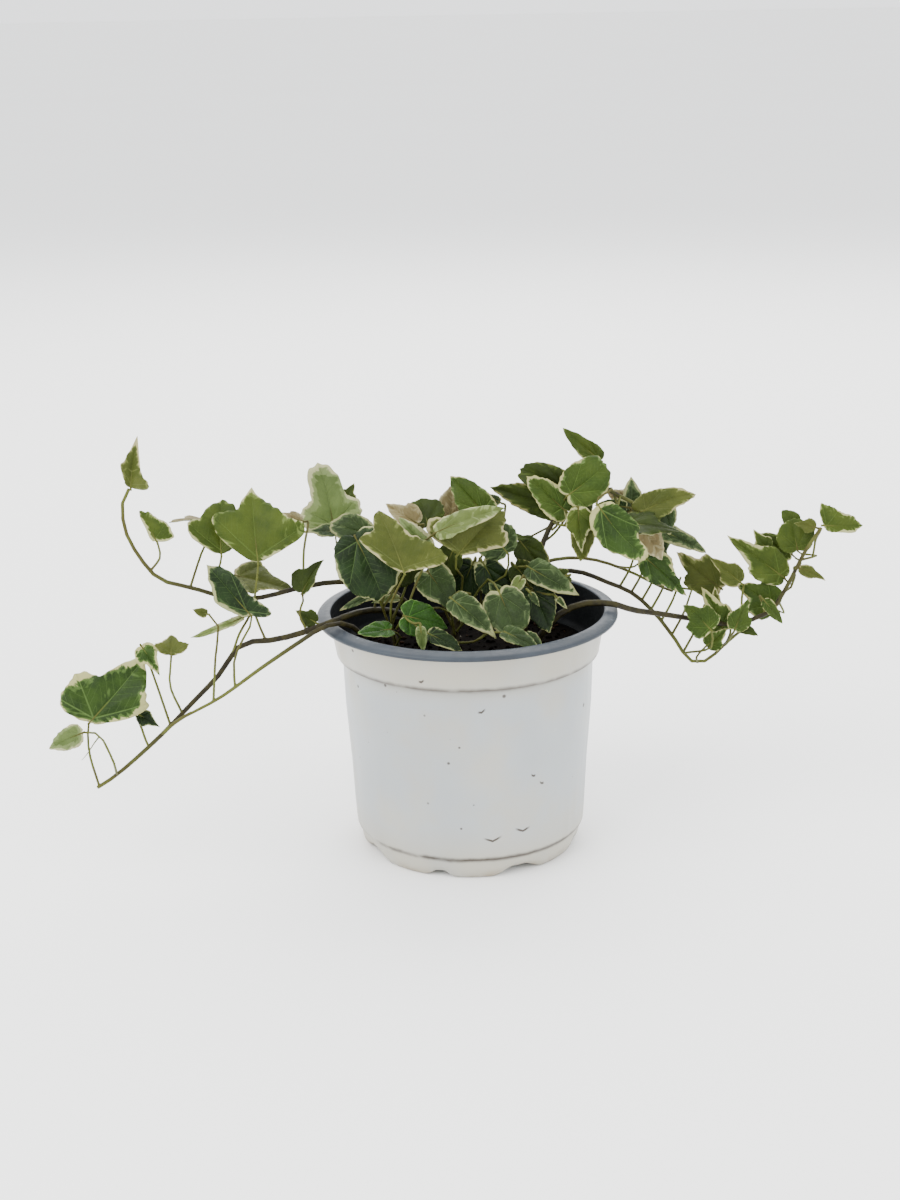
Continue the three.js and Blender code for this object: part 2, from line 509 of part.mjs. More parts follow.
/** A leaf blade: a thin lens with a lobed outline, folded along its middle and drooping to its tip. */
function blade(name, leaf) {
  const { left, right } = outlineSides(leaf.kind);
  const mirrored = right.slice(1, -1).reverse().map(([angle, radius]) => [-angle, radius]);
  const spokes = [...left, ...mirrored];
  const base = vector(leaf.base);
  const length = base.distanceTo(vector(leaf.tip));
  const { forward, side, up } = bladeAxes(leaf);
  const slope = Math.tan(THREE.MathUtils.degToRad(leaf.fold));
  const reaches = spokes.map(([angle, radius]) => Math.abs(radius * Math.sin(THREE.MathUtils.degToRad(angle))));
  const stretch = leaf.width ? leaf.width / (2 * Math.max(...reaches)) : 1;
  const geometry = new THREE.SphereGeometry(1, spokes.length, BLADE_RINGS.length - 1);
  const position = geometry.attributes.position;
  for (let i = 0; i < position.count; i += 1) {
    const ring = Math.floor(i / (spokes.length + 1));
    const [angle, radius] = spokes[(i % (spokes.length + 1)) % spokes.length];
    const turn = THREE.MathUtils.degToRad(angle);
    const out = BLADE_RINGS[ring] * radius * length;
    const x = out * Math.cos(turn);
    const y = out * Math.sin(turn) * stretch;
    const droop = BLADE_DROOP * (x * x + 0.5 * y * y) / length;
    const z = BLADE_LIFTS[ring] * BLADE_THICKNESS + Math.abs(y) * slope - droop;
    const place = base.clone().addScaledVector(forward, x).addScaledVector(side, y).addScaledVector(up, z);
    position.setXYZ(i, place.x, place.y, place.z);
  }
  return named(name, geometryOf(solidOf(geometry)), LEAF_FINISHES[leaf.shade]);
}

// ---- The whole part ----

const ivy = new THREE.Group();
ivy.add(pot(), soil());
for (const [name, plan] of Object.entries(VINES)) {
  ivy.add(vine(name, plan));
  plan.leaves.forEach((leaf, index) => ivy.add(blade(`leaf_${name}_${index + 1}`, leaf)));
}

export default ivy;
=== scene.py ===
"""A trailing variegated ivy in a thin nursery pot: leaves, vines, soil and pot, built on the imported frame.

Metres, +Z up. The pot's axis is Z, its foot stands on z = 0 and its front faces -Y.
"""

import logging
import math
import random
from dataclasses import dataclass
from enum import Enum
from typing import Iterable, Optional, Sequence, Union

import bmesh
import bpy
import numpy as np
from mathutils import Matrix, Vector, noise
from mathutils.bvhtree import BVHTree


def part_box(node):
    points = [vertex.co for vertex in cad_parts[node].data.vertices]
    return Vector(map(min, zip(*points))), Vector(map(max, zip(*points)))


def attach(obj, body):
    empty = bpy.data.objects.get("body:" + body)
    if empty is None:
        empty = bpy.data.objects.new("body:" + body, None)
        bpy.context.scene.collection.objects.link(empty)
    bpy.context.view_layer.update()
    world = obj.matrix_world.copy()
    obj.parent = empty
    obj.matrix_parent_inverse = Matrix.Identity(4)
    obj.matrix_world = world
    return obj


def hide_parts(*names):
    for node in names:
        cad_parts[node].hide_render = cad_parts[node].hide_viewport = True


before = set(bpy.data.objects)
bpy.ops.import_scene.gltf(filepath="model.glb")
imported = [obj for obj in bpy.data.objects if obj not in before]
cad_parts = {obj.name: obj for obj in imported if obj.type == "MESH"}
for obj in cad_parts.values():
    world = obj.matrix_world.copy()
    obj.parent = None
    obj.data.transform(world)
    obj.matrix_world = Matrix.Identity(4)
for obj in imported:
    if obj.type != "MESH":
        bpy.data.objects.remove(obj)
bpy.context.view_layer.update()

LOG = logging.getLogger("ivy")
MM = 0.001
SEED = 41
Socket = bpy.types.NodeSocket
Wire = Union[Socket, float, str, Sequence[float]]


# ---- Bench: chores that every piece shares ----


class Bench:
    """Selecting, shaping and handing over pieces."""

    @staticmethod
    def clear() -> None:
        """Leave nothing selected and nothing in edit mode."""
        if bpy.context.object and bpy.context.object.mode != "OBJECT":
            bpy.ops.object.mode_set(mode="OBJECT")
        bpy.ops.object.select_all(action="DESELECT")

    @staticmethod
    def hold(piece: bpy.types.Object, *others: bpy.types.Object) -> None:
        """Select these pieces only, the first of them active.

        Args:
            piece: The active piece.
            others: More pieces to select with it.
        """
        Bench.clear()
        for one in (*others, piece):
            one.select_set(True)
        bpy.context.view_layer.objects.active = piece

    @staticmethod
    def edit(piece: bpy.types.Object, kind: str = "VERT") -> None:
        """Open a piece in edit mode with nothing of it selected.

        Args:
            piece: The piece to open.
            kind: VERT, EDGE or FACE, what is picked.
        """
        Bench.hold(piece)
        bpy.ops.object.mode_set(mode="EDIT")
        bpy.ops.mesh.select_mode(type=kind)
        bpy.ops.mesh.select_all(action="DESELECT")

    @staticmethod
    def close() -> None:
        """Go back to object mode."""
        bpy.ops.object.mode_set(mode="OBJECT")

    @staticmethod
    def tidy(piece: bpy.types.Object, gap: float = 1e-6) -> None:
        """Merge doubles and turn every face outwards.

        Args:
            piece: The piece to tidy.
            gap: How near two vertices are when they are one.
        """
        Bench.edit(piece)
        bpy.ops.mesh.select_all(action="SELECT")
        bpy.ops.mesh.remove_doubles(threshold=gap)
        bpy.ops.mesh.normals_make_consistent(inside=False)
        Bench.close()

    @staticmethod
    def modify(piece: bpy.types.Object, kind: str, **settings: object) -> None:
        """Add one modifier and apply it.

        Args:
            piece: The piece to change.
            kind: The modifier's type.
            settings: Its properties.
        """
        Bench.hold(piece)
        modifier = piece.modifiers.new(kind.title(), kind)
        for name, value in settings.items():
            setattr(modifier, name, value)
        bpy.ops.object.modifier_apply(modifier=modifier.name)

    @staticmethod
    def join(piece: bpy.types.Object, *others: bpy.types.Object) -> bpy.types.Object:
        """Join other pieces into the first one.

        Args:
            piece: The piece that stays.
            others: The pieces that go into it.

        Returns:
            The joined piece.
        """
        Bench.hold(piece, *others)
        bpy.ops.object.join()
        return piece

    @staticmethod
    def new(name: str, points: Iterable, faces: Iterable) -> bpy.types.Object:
        """Make a mesh object at the origin.

        Args:
            name: The object's name.
            points: Vertex places.
            faces: Faces as lists of vertex numbers.

        Returns:
            The new object.
        """
        mesh = bpy.data.meshes.new(name)
        mesh.from_pydata([tuple(p) for p in points], [], [tuple(f) for f in faces])
        return Bench.link(name, mesh)

    @staticmethod
    def link(name: str, data: bpy.types.ID) -> bpy.types.Object:
        """Put a mesh, a light or a camera in the scene as an object at the origin."""
        piece = bpy.data.objects.new(name, data)
        bpy.context.scene.collection.objects.link(piece)
        return piece

    @staticmethod
    def disc(name: str, sides: int, radius: float, level: float = 0.0) -> bpy.types.Object:
        """Start a piece from a flat disc about the Z axis.

        Args:
            name: The object's name.
            sides: Points on its rim.
            radius: The disc's radius.
            level: Its height.

        Returns:
            The disc, at the origin.
        """
        Bench.clear()
        bpy.ops.mesh.primitive_circle_add(vertices=sides, radius=radius, location=(0, 0, level),
                                          fill_type="NGON")
        piece = bpy.context.object
        piece.name = name
        bpy.ops.object.transform_apply(location=True, rotation=True, scale=True)
        return piece

    @staticmethod
    def smooth(piece: bpy.types.Object) -> None:
        """Shade every face smooth."""
        piece.data.polygons.foreach_set("use_smooth", [True] * len(piece.data.polygons))

    @staticmethod
    def store_girth(piece: bpy.types.Object, values: Sequence[float]) -> None:
        """Store how thick the piece is at each vertex, from 0 for a stalk to 1 for a stem."""
        girth = piece.data.attributes.new("girth", "FLOAT", "POINT")
        girth.data.foreach_set("value", values)

    @staticmethod
    def dress(piece: bpy.types.Object, *materials: bpy.types.Material) -> None:
        """Give a piece these materials, in this order.

        Args:
            piece: The piece.
            materials: Its materials.
        """
        piece.data.materials.clear()
        for material in materials:
            piece.data.materials.append(material)

    @staticmethod
    def hand_over(piece: bpy.types.Object, slot: str, *nodes: str) -> None:
        """Tie a finished piece to the frame and report it.

        Args:
            piece: The finished piece.
            slot: The record's material slot.
            nodes: The frame's nodes that it stands for.
        """
        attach(piece, "root")
        if nodes:
            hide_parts(*nodes)
        stands_for = ", ".join(nodes) or "nothing"
        LOG.info("%s: %d faces, slot %s, stands for %s", piece.name, len(piece.data.polygons), slot,
                 stands_for)

    @staticmethod
    def welded(node: str) -> tuple[np.ndarray, np.ndarray]:
        """Read a frame node with one vertex for each place.

        Args:
            node: The node's name.

        Returns:
            Vertex places, and triangles as vertex numbers.
        """
        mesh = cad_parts[node].data
        raw = np.array([v.co for v in mesh.vertices])
        _, first, index = np.unique(np.round(raw, 6), axis=0, return_index=True, return_inverse=True)
        triangles = np.array([[index[i] for i in p.vertices] for p in mesh.polygons])
        return raw[first], triangles.reshape(len(mesh.polygons), 3)

    @staticmethod
    def unit(vector: np.ndarray) -> np.ndarray:
        """The vector at length one."""
        return vector / np.linalg.norm(vector)


class Tube:
    """A round, closed, tapered tube along a smooth route."""

    @staticmethod
    def curve(route: Sequence[Sequence[float]], steps: int) -> np.ndarray:
        """Smooth a route through its points.

        Args:
            route: The points that it passes.
            steps: Steps between two of them.

        Returns:
            The places along it.
        """
        p = np.array(route, float)
        p = np.vstack([2 * p[0] - p[1], p, 2 * p[-1] - p[-2]])
        out = []
        for a, b, c, d in zip(p, p[1:], p[2:], p[3:]):
            for k in range(steps):
                t = k / steps
                out.append(0.5 * (2 * b + (c - a) * t + (2 * a - 5 * b + 4 * c - d) * t**2
                                  + (3 * b - a - 3 * c + d) * t**3))
        out.append(p[-2])
        return np.array(out)

    @staticmethod
    def make(name: str, places: np.ndarray, radii: Sequence[float], sides: int = 8) -> bpy.types.Object:
        """Build the tube.

        Args:
            name: The object's name.
            places: The centre line.
            radii: A radius at each place.
            sides: Sides of the section.

        Returns:
            The tube, closed at both ends.
        """
        tangents = np.gradient(places, axis=0)
        side = np.cross(tangents[0], [0.3, 0.2, 0.9])
        points = []
        for place, tangent, radius in zip(places, tangents, radii):
            tangent = Bench.unit(tangent)
            side = Bench.unit(side - tangent * np.dot(side, tangent))
            other = np.cross(tangent, side)
            for k in range(sides):
                turn = 2 * math.pi * k / sides
                points.append(place + radius * (math.cos(turn) * side + math.sin(turn) * other))
        faces = []
        for ring in range(len(places) - 1):
            for k in range(sides):
                a, b = ring * sides + k, ring * sides + (k + 1) % sides
                faces.append((a, b, b + sides, a + sides))
        faces.append(tuple(reversed(range(sides))))
        faces.append(tuple(range(len(points) - sides, len(points))))
        return Bench.new(name, points, faces)


# ---- Finishes ----


def colour(text: str) -> tuple[float, float, float, float]:
    """A scene colour from a six-figure paint code."""
    parts = [int(text[i:i + 2], 16) / 255 for i in (0, 2, 4)]
    return (*[p / 12.92 if p < 0.04045 else ((p + 0.055) / 1.055) ** 2.4 for p in parts], 1.0)


class Graph:
    """A short way to lay out shader nodes in one tree."""

    def __init__(self, tree: bpy.types.NodeTree) -> None:
        """Start on a tree."""
        self.tree = tree
        self.count = 0

    def put(self, kind: str, inputs: Optional[dict] = None, **settings: object) -> bpy.types.Node:
        """Add a node.

        Args:
            kind: The node's type without the ShaderNode prefix.
            inputs: Values or wires by input name or number.
            settings: The node's properties.

        Returns:
            The node.
        """
        node = self.tree.nodes.new(kind if kind.startswith("Node") else "ShaderNode" + kind)
        node.location = (180 * (self.count % 12), -220 * (self.count // 12))
        self.count += 1
        for name, value in settings.items():
            setattr(node, name, value)
        for name, value in (inputs or {}).items():
            self.feed(node.inputs[name], value)
        return node

    def feed(self, socket: Socket, value: Wire) -> None:
        """Wire one input, or set it to a value or to a paint code's colour."""
        if isinstance(value, bpy.types.NodeSocket):
            self.tree.links.new(value, socket)
        else:
            socket.default_value = colour(value) if isinstance(value, str) else value

    def math(self, operation: str, a: Wire, b: Wire = 0.0) -> Socket:
        """One sum."""
        return self.put("Math", {0: a, 1: b}, operation=operation).outputs[0]

    def plus(self, a: Wire, b: Wire) -> Socket:
        """The first value and the second."""
        return self.math("ADD", a, b)

    def minus(self, a: Wire, b: Wire) -> Socket:
        """The first value less the second."""
        return self.math("SUBTRACT", a, b)

    def times(self, a: Wire, b: Wire) -> Socket:
        """The first value times the second."""
        return self.math("MULTIPLY", a, b)

    def most(self, a: Wire, b: Wire) -> Socket:
        """The larger of two values."""
        return self.math("MAXIMUM", a, b)

    def step(self, value: Wire, low: float, high: float, start: float = 0.0, end: float = 1.0) -> Socket:
        """A soft step from start at low to end at high."""
        return self.put("MapRange", {0: value, 1: low, 2: high, 3: start, 4: end},
                        interpolation_type="SMOOTHSTEP").outputs[0]

    def blend(self, share: Wire, a: Wire, b: Wire) -> Socket:
        """A mix of two colours."""
        return self.put("Mix", {0: share, 6: a, 7: b}, data_type="RGBA").outputs[2]

    def stretch(self, vector: Wire, scale: Sequence[float]) -> Socket:
        """A stretched set of coordinates."""
        return self.put("Mapping", {"Vector": vector, "Scale": scale}).outputs[0]

    def grain(self, vector: Wire, scale: float, detail: float = 3.0, rough: float = 0.5) -> Socket:
        """A value of cloudy noise, about 0.5 in its middle."""
        inputs = {"Vector": vector, "Scale": scale, "Detail": detail, "Roughness": rough}
        return self.put("TexNoise", inputs).outputs[0]

    def cells(self, vector: Wire, scale: float, feature: str = "F1") -> Socket:
        """The distance in a pattern of cells."""
        return self.put("TexVoronoi", {"Vector": vector, "Scale": scale}, feature=feature).outputs["Distance"]

    def object_place(self) -> Socket:
        """The piece's own coordinates."""
        return self.put("TexCoord").outputs["Object"]

    def map_place(self, name: str) -> Socket:
        """One of the piece's UV maps."""
        return self.put("UVMap", uv_map=name).outputs[0]

    def parts(self, vector: Wire) -> tuple[Socket, Socket, Socket]:
        """The three parts of a vector."""
        out = self.put("SeparateXYZ", {0: vector}).outputs
        return out[0], out[1], out[2]

    def bump(self, height: Wire, distance: float, strength: float) -> Socket:
        """A bumped normal."""
        return self.put("Bump", {"Height": height, "Distance": distance, "Strength": strength}).outputs[0]

    def skin(self, base: Wire, rough: Wire, normal: Socket, shine: float) -> Socket:
        """A solid surface.

        Args:
            base: Its colour.
            rough: Its roughness.
            normal: Its bumped normal.
            shine: How strongly it mirrors, 0.5 for a common plastic.

        Returns:
            The surface's shader.
        """
        return self.put("BsdfPrincipled", {"Base Color": base, "Roughness": rough, "Normal": normal,
                                           "Specular IOR Level": shine}).outputs[0]


class Group:
    """A node group with named inputs and outputs, built once and placed in many materials."""

    def __init__(self, name: str, inputs: dict[str, object], outputs: Sequence[str]) -> None:
        """Open the group.

        Args:
            name: The group's name.
            inputs: Input names and their usual values; a tuple of three is a vector.
            outputs: The names of its values going out.
        """
        self.tree = bpy.data.node_groups.new(name, "ShaderNodeTree")
        for label, value in inputs.items():
            kind = "NodeSocketVector" if isinstance(value, tuple) else "NodeSocketFloat"
            socket = self.tree.interface.new_socket(label, in_out="INPUT", socket_type=kind)
            socket.default_value = value
        for label in outputs:
            self.tree.interface.new_socket(label, in_out="OUTPUT", socket_type="NodeSocketFloat")
        self.graph = Graph(self.tree)
        self.source = self.graph.put("NodeGroupInput")
        self.sink = self.graph.put("NodeGroupOutput")

    def read(self, name: str) -> Socket:
        """An input's wire."""
        return self.source.outputs[name]

    def write(self, name: str, value: Wire) -> None:
        """Send a value out."""
        self.graph.feed(self.sink.inputs[name], value)

    def use(self, graph: Graph, **values: Wire) -> dict[str, Socket]:
        """Place the group in a material.

        Args:
            graph: The material's graph.
            values: Its inputs, with _ for a space.

        Returns:
            Its outputs by name.
        """
        node = graph.put("Group", node_tree=self.tree)
        for name, value in values.items():
            graph.feed(node.inputs[name.replace("_", " ")], value)
        return {socket.name: socket for socket in node.outputs}


class Effects:
    """The effects that several finishes share."""

    def __init__(self) -> None:
        """Build each group once."""
        self.veins = self._veins()
        self.variegation = self._variegation()
        self.specks = self._specks()

    def _veins(self) -> Group:
        """Main veins, their slanting side veins and a fine net between them."""
        g = Group("leaf_veins", {"Along": 0.0, "Across": 0.0, "Place": (0.0, 0.0, 0.0), "Main Width": 0.018,
                                 "Side Count": 9.0, "Wander": 0.5}, ("Main", "Side", "Net"))
        n = g.graph
        along, across, place = g.read("Along"), g.read("Across"), g.read("Place")
        drift = n.times(n.minus(n.grain(place, 260, 1.5), 0.5), 0.012)
        near = n.math("ABSOLUTE", n.plus(across, drift))
        width = n.times(g.read("Main Width"), n.step(along, 0.0, 0.95, 1.0, 0.25))
        share = n.math("DIVIDE", near, width)
        g.write("Main", n.step(share, 0.35, 1.0, 1.0, 0.0))
        slant = n.minus(along, n.times(across, 0.95))
        sway = n.times(n.minus(n.grain(place, 120, 2.0), 0.5), g.read("Wander"))
        wave = n.plus(n.times(slant, g.read("Side Count")), sway)
        fold = n.math("ABSOLUTE", n.minus(n.math("FRACT", wave), 0.5))
        thin = n.times(n.step(fold, 0.0, 0.085, 1.0, 0.0), n.step(across, 0.0, 0.3, 1.0, 0.35))
        g.write("Side", n.times(thin, n.step(along, 0.02, 0.12)))
        g.write("Net", n.step(n.cells(place, 900, "DISTANCE_TO_EDGE"), 0.0, 0.1, 1.0, 0.0))
        return g

    def _variegation(self) -> Group:
        """Ragged bands of cream and grey from the margin inwards, and blotches in the middle."""
        g = Group("leaf_variegation", {"Edge": 0.0, "Along": 0.0, "Across": 0.0, "Place": (0.0, 0.0, 0.0),
                                       "Cream": 0.05, "Grey": 0.16, "Ragged": 1.0, "Blotch": 0.5},
                  ("Cream", "Grey", "Blotch", "Cloud"))
        n = g.graph
        edge, place = g.read("Edge"), g.read("Place")
        slant = n.minus(g.read("Along"), n.times(g.read("Across"), 0.95))
        flow = n.put("CombineXYZ", {0: n.times(slant, 8.0),
                                    1: n.times(g.read("Across"), 3.0), 2: 0.0}).outputs[0]
        shift = n.put("VectorMath", {0: flow, 1: n.put("VectorMath", {0: place, 1: (150.0, 150.0, 150.0)},
                                                      operation="MULTIPLY").outputs[0]},
                                                      operation="ADD").outputs[0]
        tooth = n.minus(n.grain(shift, 1.0, 3.0, 0.55), 0.5)
        broad = n.minus(n.grain(place, 62, 1.0), 0.5)
        fine = n.minus(n.grain(place, 420, 2.0), 0.5)
        swing = n.plus(n.times(tooth, 0.16),
                       n.plus(n.times(broad, 0.26), n.times(fine, 0.02)))
        depth = n.minus(edge, n.times(swing, g.read("Ragged")))
        cream = n.minus(depth, g.read("Cream"))
        g.write("Cream", n.step(cream, -0.01, 0.012, 1.0, 0.0))
        grey = n.minus(n.minus(depth, n.times(tooth, 0.2)), g.read("Grey"))
        g.write("Grey", n.step(grey, -0.02, 0.02, 1.0, 0.0))
        spot = n.grain(shift, 0.62, 2.5, 0.6)
        g.write("Blotch", n.step(n.plus(spot, n.times(g.read("Blotch"), 0.3)), 0.66, 0.74))
        g.write("Cloud", n.grain(place, 95, 3.0, 0.55))
        return g

    def _specks(self) -> Group:
        """Sparse small marks on a smooth moulding."""
        g = Group("specks", {"Place": (0.0, 0.0, 0.0), "Scale": 60.0, "Size": 0.06, "Share": 0.35}, ("Mark",))
        n = g.graph
        place = g.read("Place")
        node = n.put("TexVoronoi", {"Vector": place, "Scale": g.read("Scale")}, feature="F1")
        chance = n.parts(node.outputs["Color"])[0]
        kept = n.math("LESS_THAN", chance, g.read("Share"))
        size = n.times(g.read("Size"), n.step(n.parts(node.outputs["Color"])[1], 0.0, 1.0, 0.35, 1.0))
        ratio = n.math("DIVIDE", node.outputs["Distance"], size)
        g.write("Mark", n.times(n.step(ratio, 0.6, 1.0, 1.0, 0.0), kept))
        return g


def new_material(name: str) -> tuple[bpy.types.Material, Graph, bpy.types.Node]:
    """Start a material.

    Args:
        name: The finish's name.

    Returns:
        The material, its graph and its output node.
    """
    material = bpy.data.materials.new(name)
    material.use_nodes = True
    material.node_tree.nodes.clear()
    graph = Graph(material.node_tree)
    return material, graph, graph.put("OutputMaterial")


@dataclass(frozen=True)
class LeafFinish:
    """One side of a variegated leaf."""

    name: str
    deep: str
    middle: str
    pale: str
    cream: str
    vein: str
    glow: str
    cream_width: float = 0.04
    grey_width: float = 0.12
    ragged: float = 1.0
    blotch: float = 0.5
    vein_show: float = 0.5
    side_show: float = 0.25
    gloss: float = 0.42
    see_through: float = 0.25
    relief: float = -1.0

    def build(self, effects: Effects) -> bpy.types.Material:
        """Make the material.

        Args:
            effects: The shared groups.

        Returns:
            The finished material.
        """
        material, n, out = new_material(self.name)
        place = n.object_place()
        along, across, _ = n.parts(n.map_place("veins"))
        edge, _, _ = n.parts(n.map_place("margin"))
        lines = effects.veins.use(n, Along=along, Across=across, Place=place)
        zones = effects.variegation.use(n, Edge=edge, Along=along, Across=across, Place=place,
                                        Cream=self.cream_width, Grey=self.grey_width, Ragged=self.ragged,
                                        Blotch=self.blotch)
        base = n.blend(n.step(zones["Cloud"], 0.35, 0.65), self.deep, self.middle)
        base = n.blend(n.times(zones["Blotch"], 0.75), base, self.pale)
        base = n.blend(n.times(zones["Grey"], 0.85), base, self.pale)
        ribs = n.most(n.times(lines["Main"], self.vein_show),
                      n.times(lines["Side"], self.side_show))
        base = n.blend(ribs, base, self.vein)
        base = n.blend(n.times(lines["Net"], 0.08), base, self.vein)
        base = n.blend(zones["Cream"], base, self.cream)
        tint = n.step(n.grain(place, 38, 2.0), 0.3, 0.7, 0.86, 1.1)
        base = n.put("HueSaturation", {"Hue": 0.5, "Saturation": 1.0, "Value": tint,
                                       "Color": base}).outputs[0]
        wear = n.step(n.grain(place, 800, 2.0), 0.3, 0.7, self.gloss - 0.06, self.gloss + 0.08)
        height = n.plus(n.times(lines["Main"], 1.0 * self.relief),
                        n.times(lines["Side"], 0.55 * self.relief))
        height = n.plus(height, n.times(lines["Net"], 0.12 * self.relief))
        height = n.plus(height, n.times(n.grain(place, 330, 2.0), 0.9))
        normal = n.bump(height, 0.00022, 0.8)
        skin = n.skin(base, wear, normal, 0.12)
        light = n.blend(0.55, base, self.glow)
        through = n.put("BsdfTranslucent", {"Color": light, "Normal": normal})
        both = n.put("MixShader", {0: self.see_through, 1: skin, 2: through.outputs[0]})
        n.feed(out.inputs[0], both.outputs[0])
        return material


@dataclass(frozen=True)
class StalkFinish:
    """Bark on the thick stems that turns to pale green skin on the thin stalks."""

    name: str
    bark: str
    bark_dark: str
    skin: str
    skin_red: str

    def build(self) -> bpy.types.Material:
        """Make the material."""
        material, n, out = new_material(self.name)
        place = n.object_place()
        girth = n.put("Attribute", attribute_name="girth").outputs["Fac"]
        mottle = n.grain(place, 240, 4.0, 0.6)
        long_grain = n.grain(n.stretch(place, (0.4, 1, 1)), 900, 3.0, 0.6)
        bark = n.blend(n.step(mottle, 0.35, 0.65), self.bark_dark, self.bark)
        skin = n.blend(n.step(n.grain(place, 70, 2.0), 0.42, 0.62), self.skin, self.skin_red)
        wood = n.step(n.plus(girth, n.times(n.minus(mottle, 0.5), 0.25)), 0.3, 0.75)
        base = n.blend(wood, skin, bark)
        pores = n.step(n.cells(place, 1100), 0.05, 0.3, 1.0, 0.0)
        base = n.blend(n.times(pores, 0.3), base, self.bark_dark)
        height = n.plus(long_grain, n.times(mottle, 0.6))
        wear = n.step(mottle, 0.3, 0.7, 0.5, 0.68)
        n.feed(out.inputs[0], n.skin(base, wear, n.bump(height, 0.00018, 0.7), 0.15))
        return material


@dataclass(frozen=True)
class WallFinish:
    """Scuffed pale plastic on the pot's outside, with painted shade along the collar step and the foot
    crease.
    """

    name: str
    cool: str
    warm: str
    # Colour of the dirt marks, also used for the painted shade along the collar step and the foot crease.
    dirt_and_crease_shade: str
    stain: str
    collar: float
    crease: float
    scuffs: tuple = ((-80, 20, 5, 0.05), (-65, 23, 4.5, -0.05), (-90, 10, 3, 0), (-85, 85, 2, 0.4),
                     (-110, 100, 1.5, 0.35), (-60, 50, 1.5, -0.3), (-55, 45, 1.5, -0.4), (50, 30, 4.5, 0.1),
                     (130, 25, 4, -0.15))
    spots: tuple = ((-75, 92, 0.9), (-150, 88, 0.8), (-25, 75, 1.1), (-130, 94, 0.8), (-95, 68, 0.6),
                    (-100, 60, 0.7), (-95, 27, 0.6), (-145, 108, 0.8), (20, 65, 0.9), (80, 80, 0.8),
                    (155, 55, 0.9))

    def build(self, effects: Effects) -> bpy.types.Material:
        """Make the material."""
        material, n, out = new_material(self.name)
        place = n.object_place()
        x, y, z = n.parts(place)
        broad = n.grain(place, 14, 2.0)
        cloud = n.grain(place, 45, 3.0)
        low = n.step(z, 0.004, 0.034, 1.0, 0.0)
        high = n.step(z, self.collar - 0.012, self.collar + 0.006)
        warm = n.most(n.times(low, 0.9), n.times(high, 0.9))
        warm = n.times(warm, n.step(cloud, 0.2, 0.6, 0.6, 1.0))
        warm = n.most(warm, n.step(n.grain(place, 26, 4.0, 0.6), 0.42, 0.68, 0.0, 0.6))
        base = n.blend(warm, self.cool, self.warm)
        shade = n.step(broad, 0.32, 0.66, 0.9, 1.04)
        base = n.put("HueSaturation", {"Value": shade, "Color": base}).outputs[0]
        ragged = n.times(n.minus(n.grain(place, 160, 4.0, 0.65), 0.5), 0.0014)
        # Mask of the painted crease shade and of the dirt marks: specks, scuffs and dents.
        dirt_and_crease_shade = 0.0
        # Painted shade: a ragged dark band along the collar step and another along the foot crease, broken
        # into patches.
        for level, reach, amount in ((self.collar, 2.4 * MM, 0.85), (self.crease, 2.2 * MM, 1.0)):
            away = n.math("ABSOLUTE", n.minus(n.plus(z, ragged), level))
            gaps = n.step(n.grain(place, 55, 3.0), 0.3, 0.52)
            dirt_and_crease_shade = n.most(dirt_and_crease_shade, n.times(n.step(away, 0.0, reach, amount, 0.0), gaps))
        for scale, size, share in ((95.0, 0.07, 0.16), (210.0, 0.09, 0.1)):
            mark = effects.specks.use(n, Place=place, Scale=scale, Size=size, Share=share)["Mark"]
            dirt_and_crease_shade = n.most(dirt_and_crease_shade, n.times(mark, 0.6))
        turn = n.times(n.math("ARCTAN2", y, x), 180 / math.pi)
        for angle, level, size, tilt in self.scuffs:
            dirt_and_crease_shade = n.most(dirt_and_crease_shade, self._scuff(n, place, turn, z, angle, level, size, tilt))
        for angle, level, size in self.spots:
            dirt_and_crease_shade = n.most(dirt_and_crease_shade, self._spot(n, ragged, turn, z, angle, level, size))
        # Blend in the dirt marks and the painted crease shade.
        base = n.blend(dirt_and_crease_shade, base, self.dirt_and_crease_shade)
        foot = n.times(n.step(z, 0.0, 0.006, 0.5, 0.0), n.step(cloud, 0.4, 0.6))
        base = n.blend(foot, base, self.stain)
        streak = n.grain(n.stretch(place, (1, 1, 0.08)), 130, 3.0)
        rough = n.step(streak, 0.3, 0.7, 0.34, 0.48)
        height = n.plus(n.times(cloud, 1.2), n.times(n.grain(place, 520, 2.0), 0.05))
        height = n.minus(height, n.times(dirt_and_crease_shade, 0.25))
        n.feed(out.inputs[0], n.skin(base, rough, n.bump(height, 0.0006, 0.5), 0.45))
        return material

    @staticmethod
    def _spot(n: Graph, ragged: Wire, turn: Wire, z: Wire, angle: float, level: float, size: float) -> Socket:
        """A round dent.

        Args:
            n: The material's graph.
            ragged: What makes its edge uneven.
            turn: Angle about the pot's axis, in degrees.
            z: Height in metres.
            angle: The dent's angle.
            level: Its height in millimetres.
            size: Its radius in millimetres.

        Returns:
            Where it is, from 0 to 1.
        """
        away = n.times(n.minus(turn, angle), MM)
        rise = n.minus(z, level * MM)
        span = n.math("SQRT", n.plus(n.times(away, away), n.times(rise, rise)))
        span = n.plus(span, n.times(ragged, 0.5))
        return n.step(span, 0.5 * size * MM, 1.3 * size * MM, 0.85, 0.0)

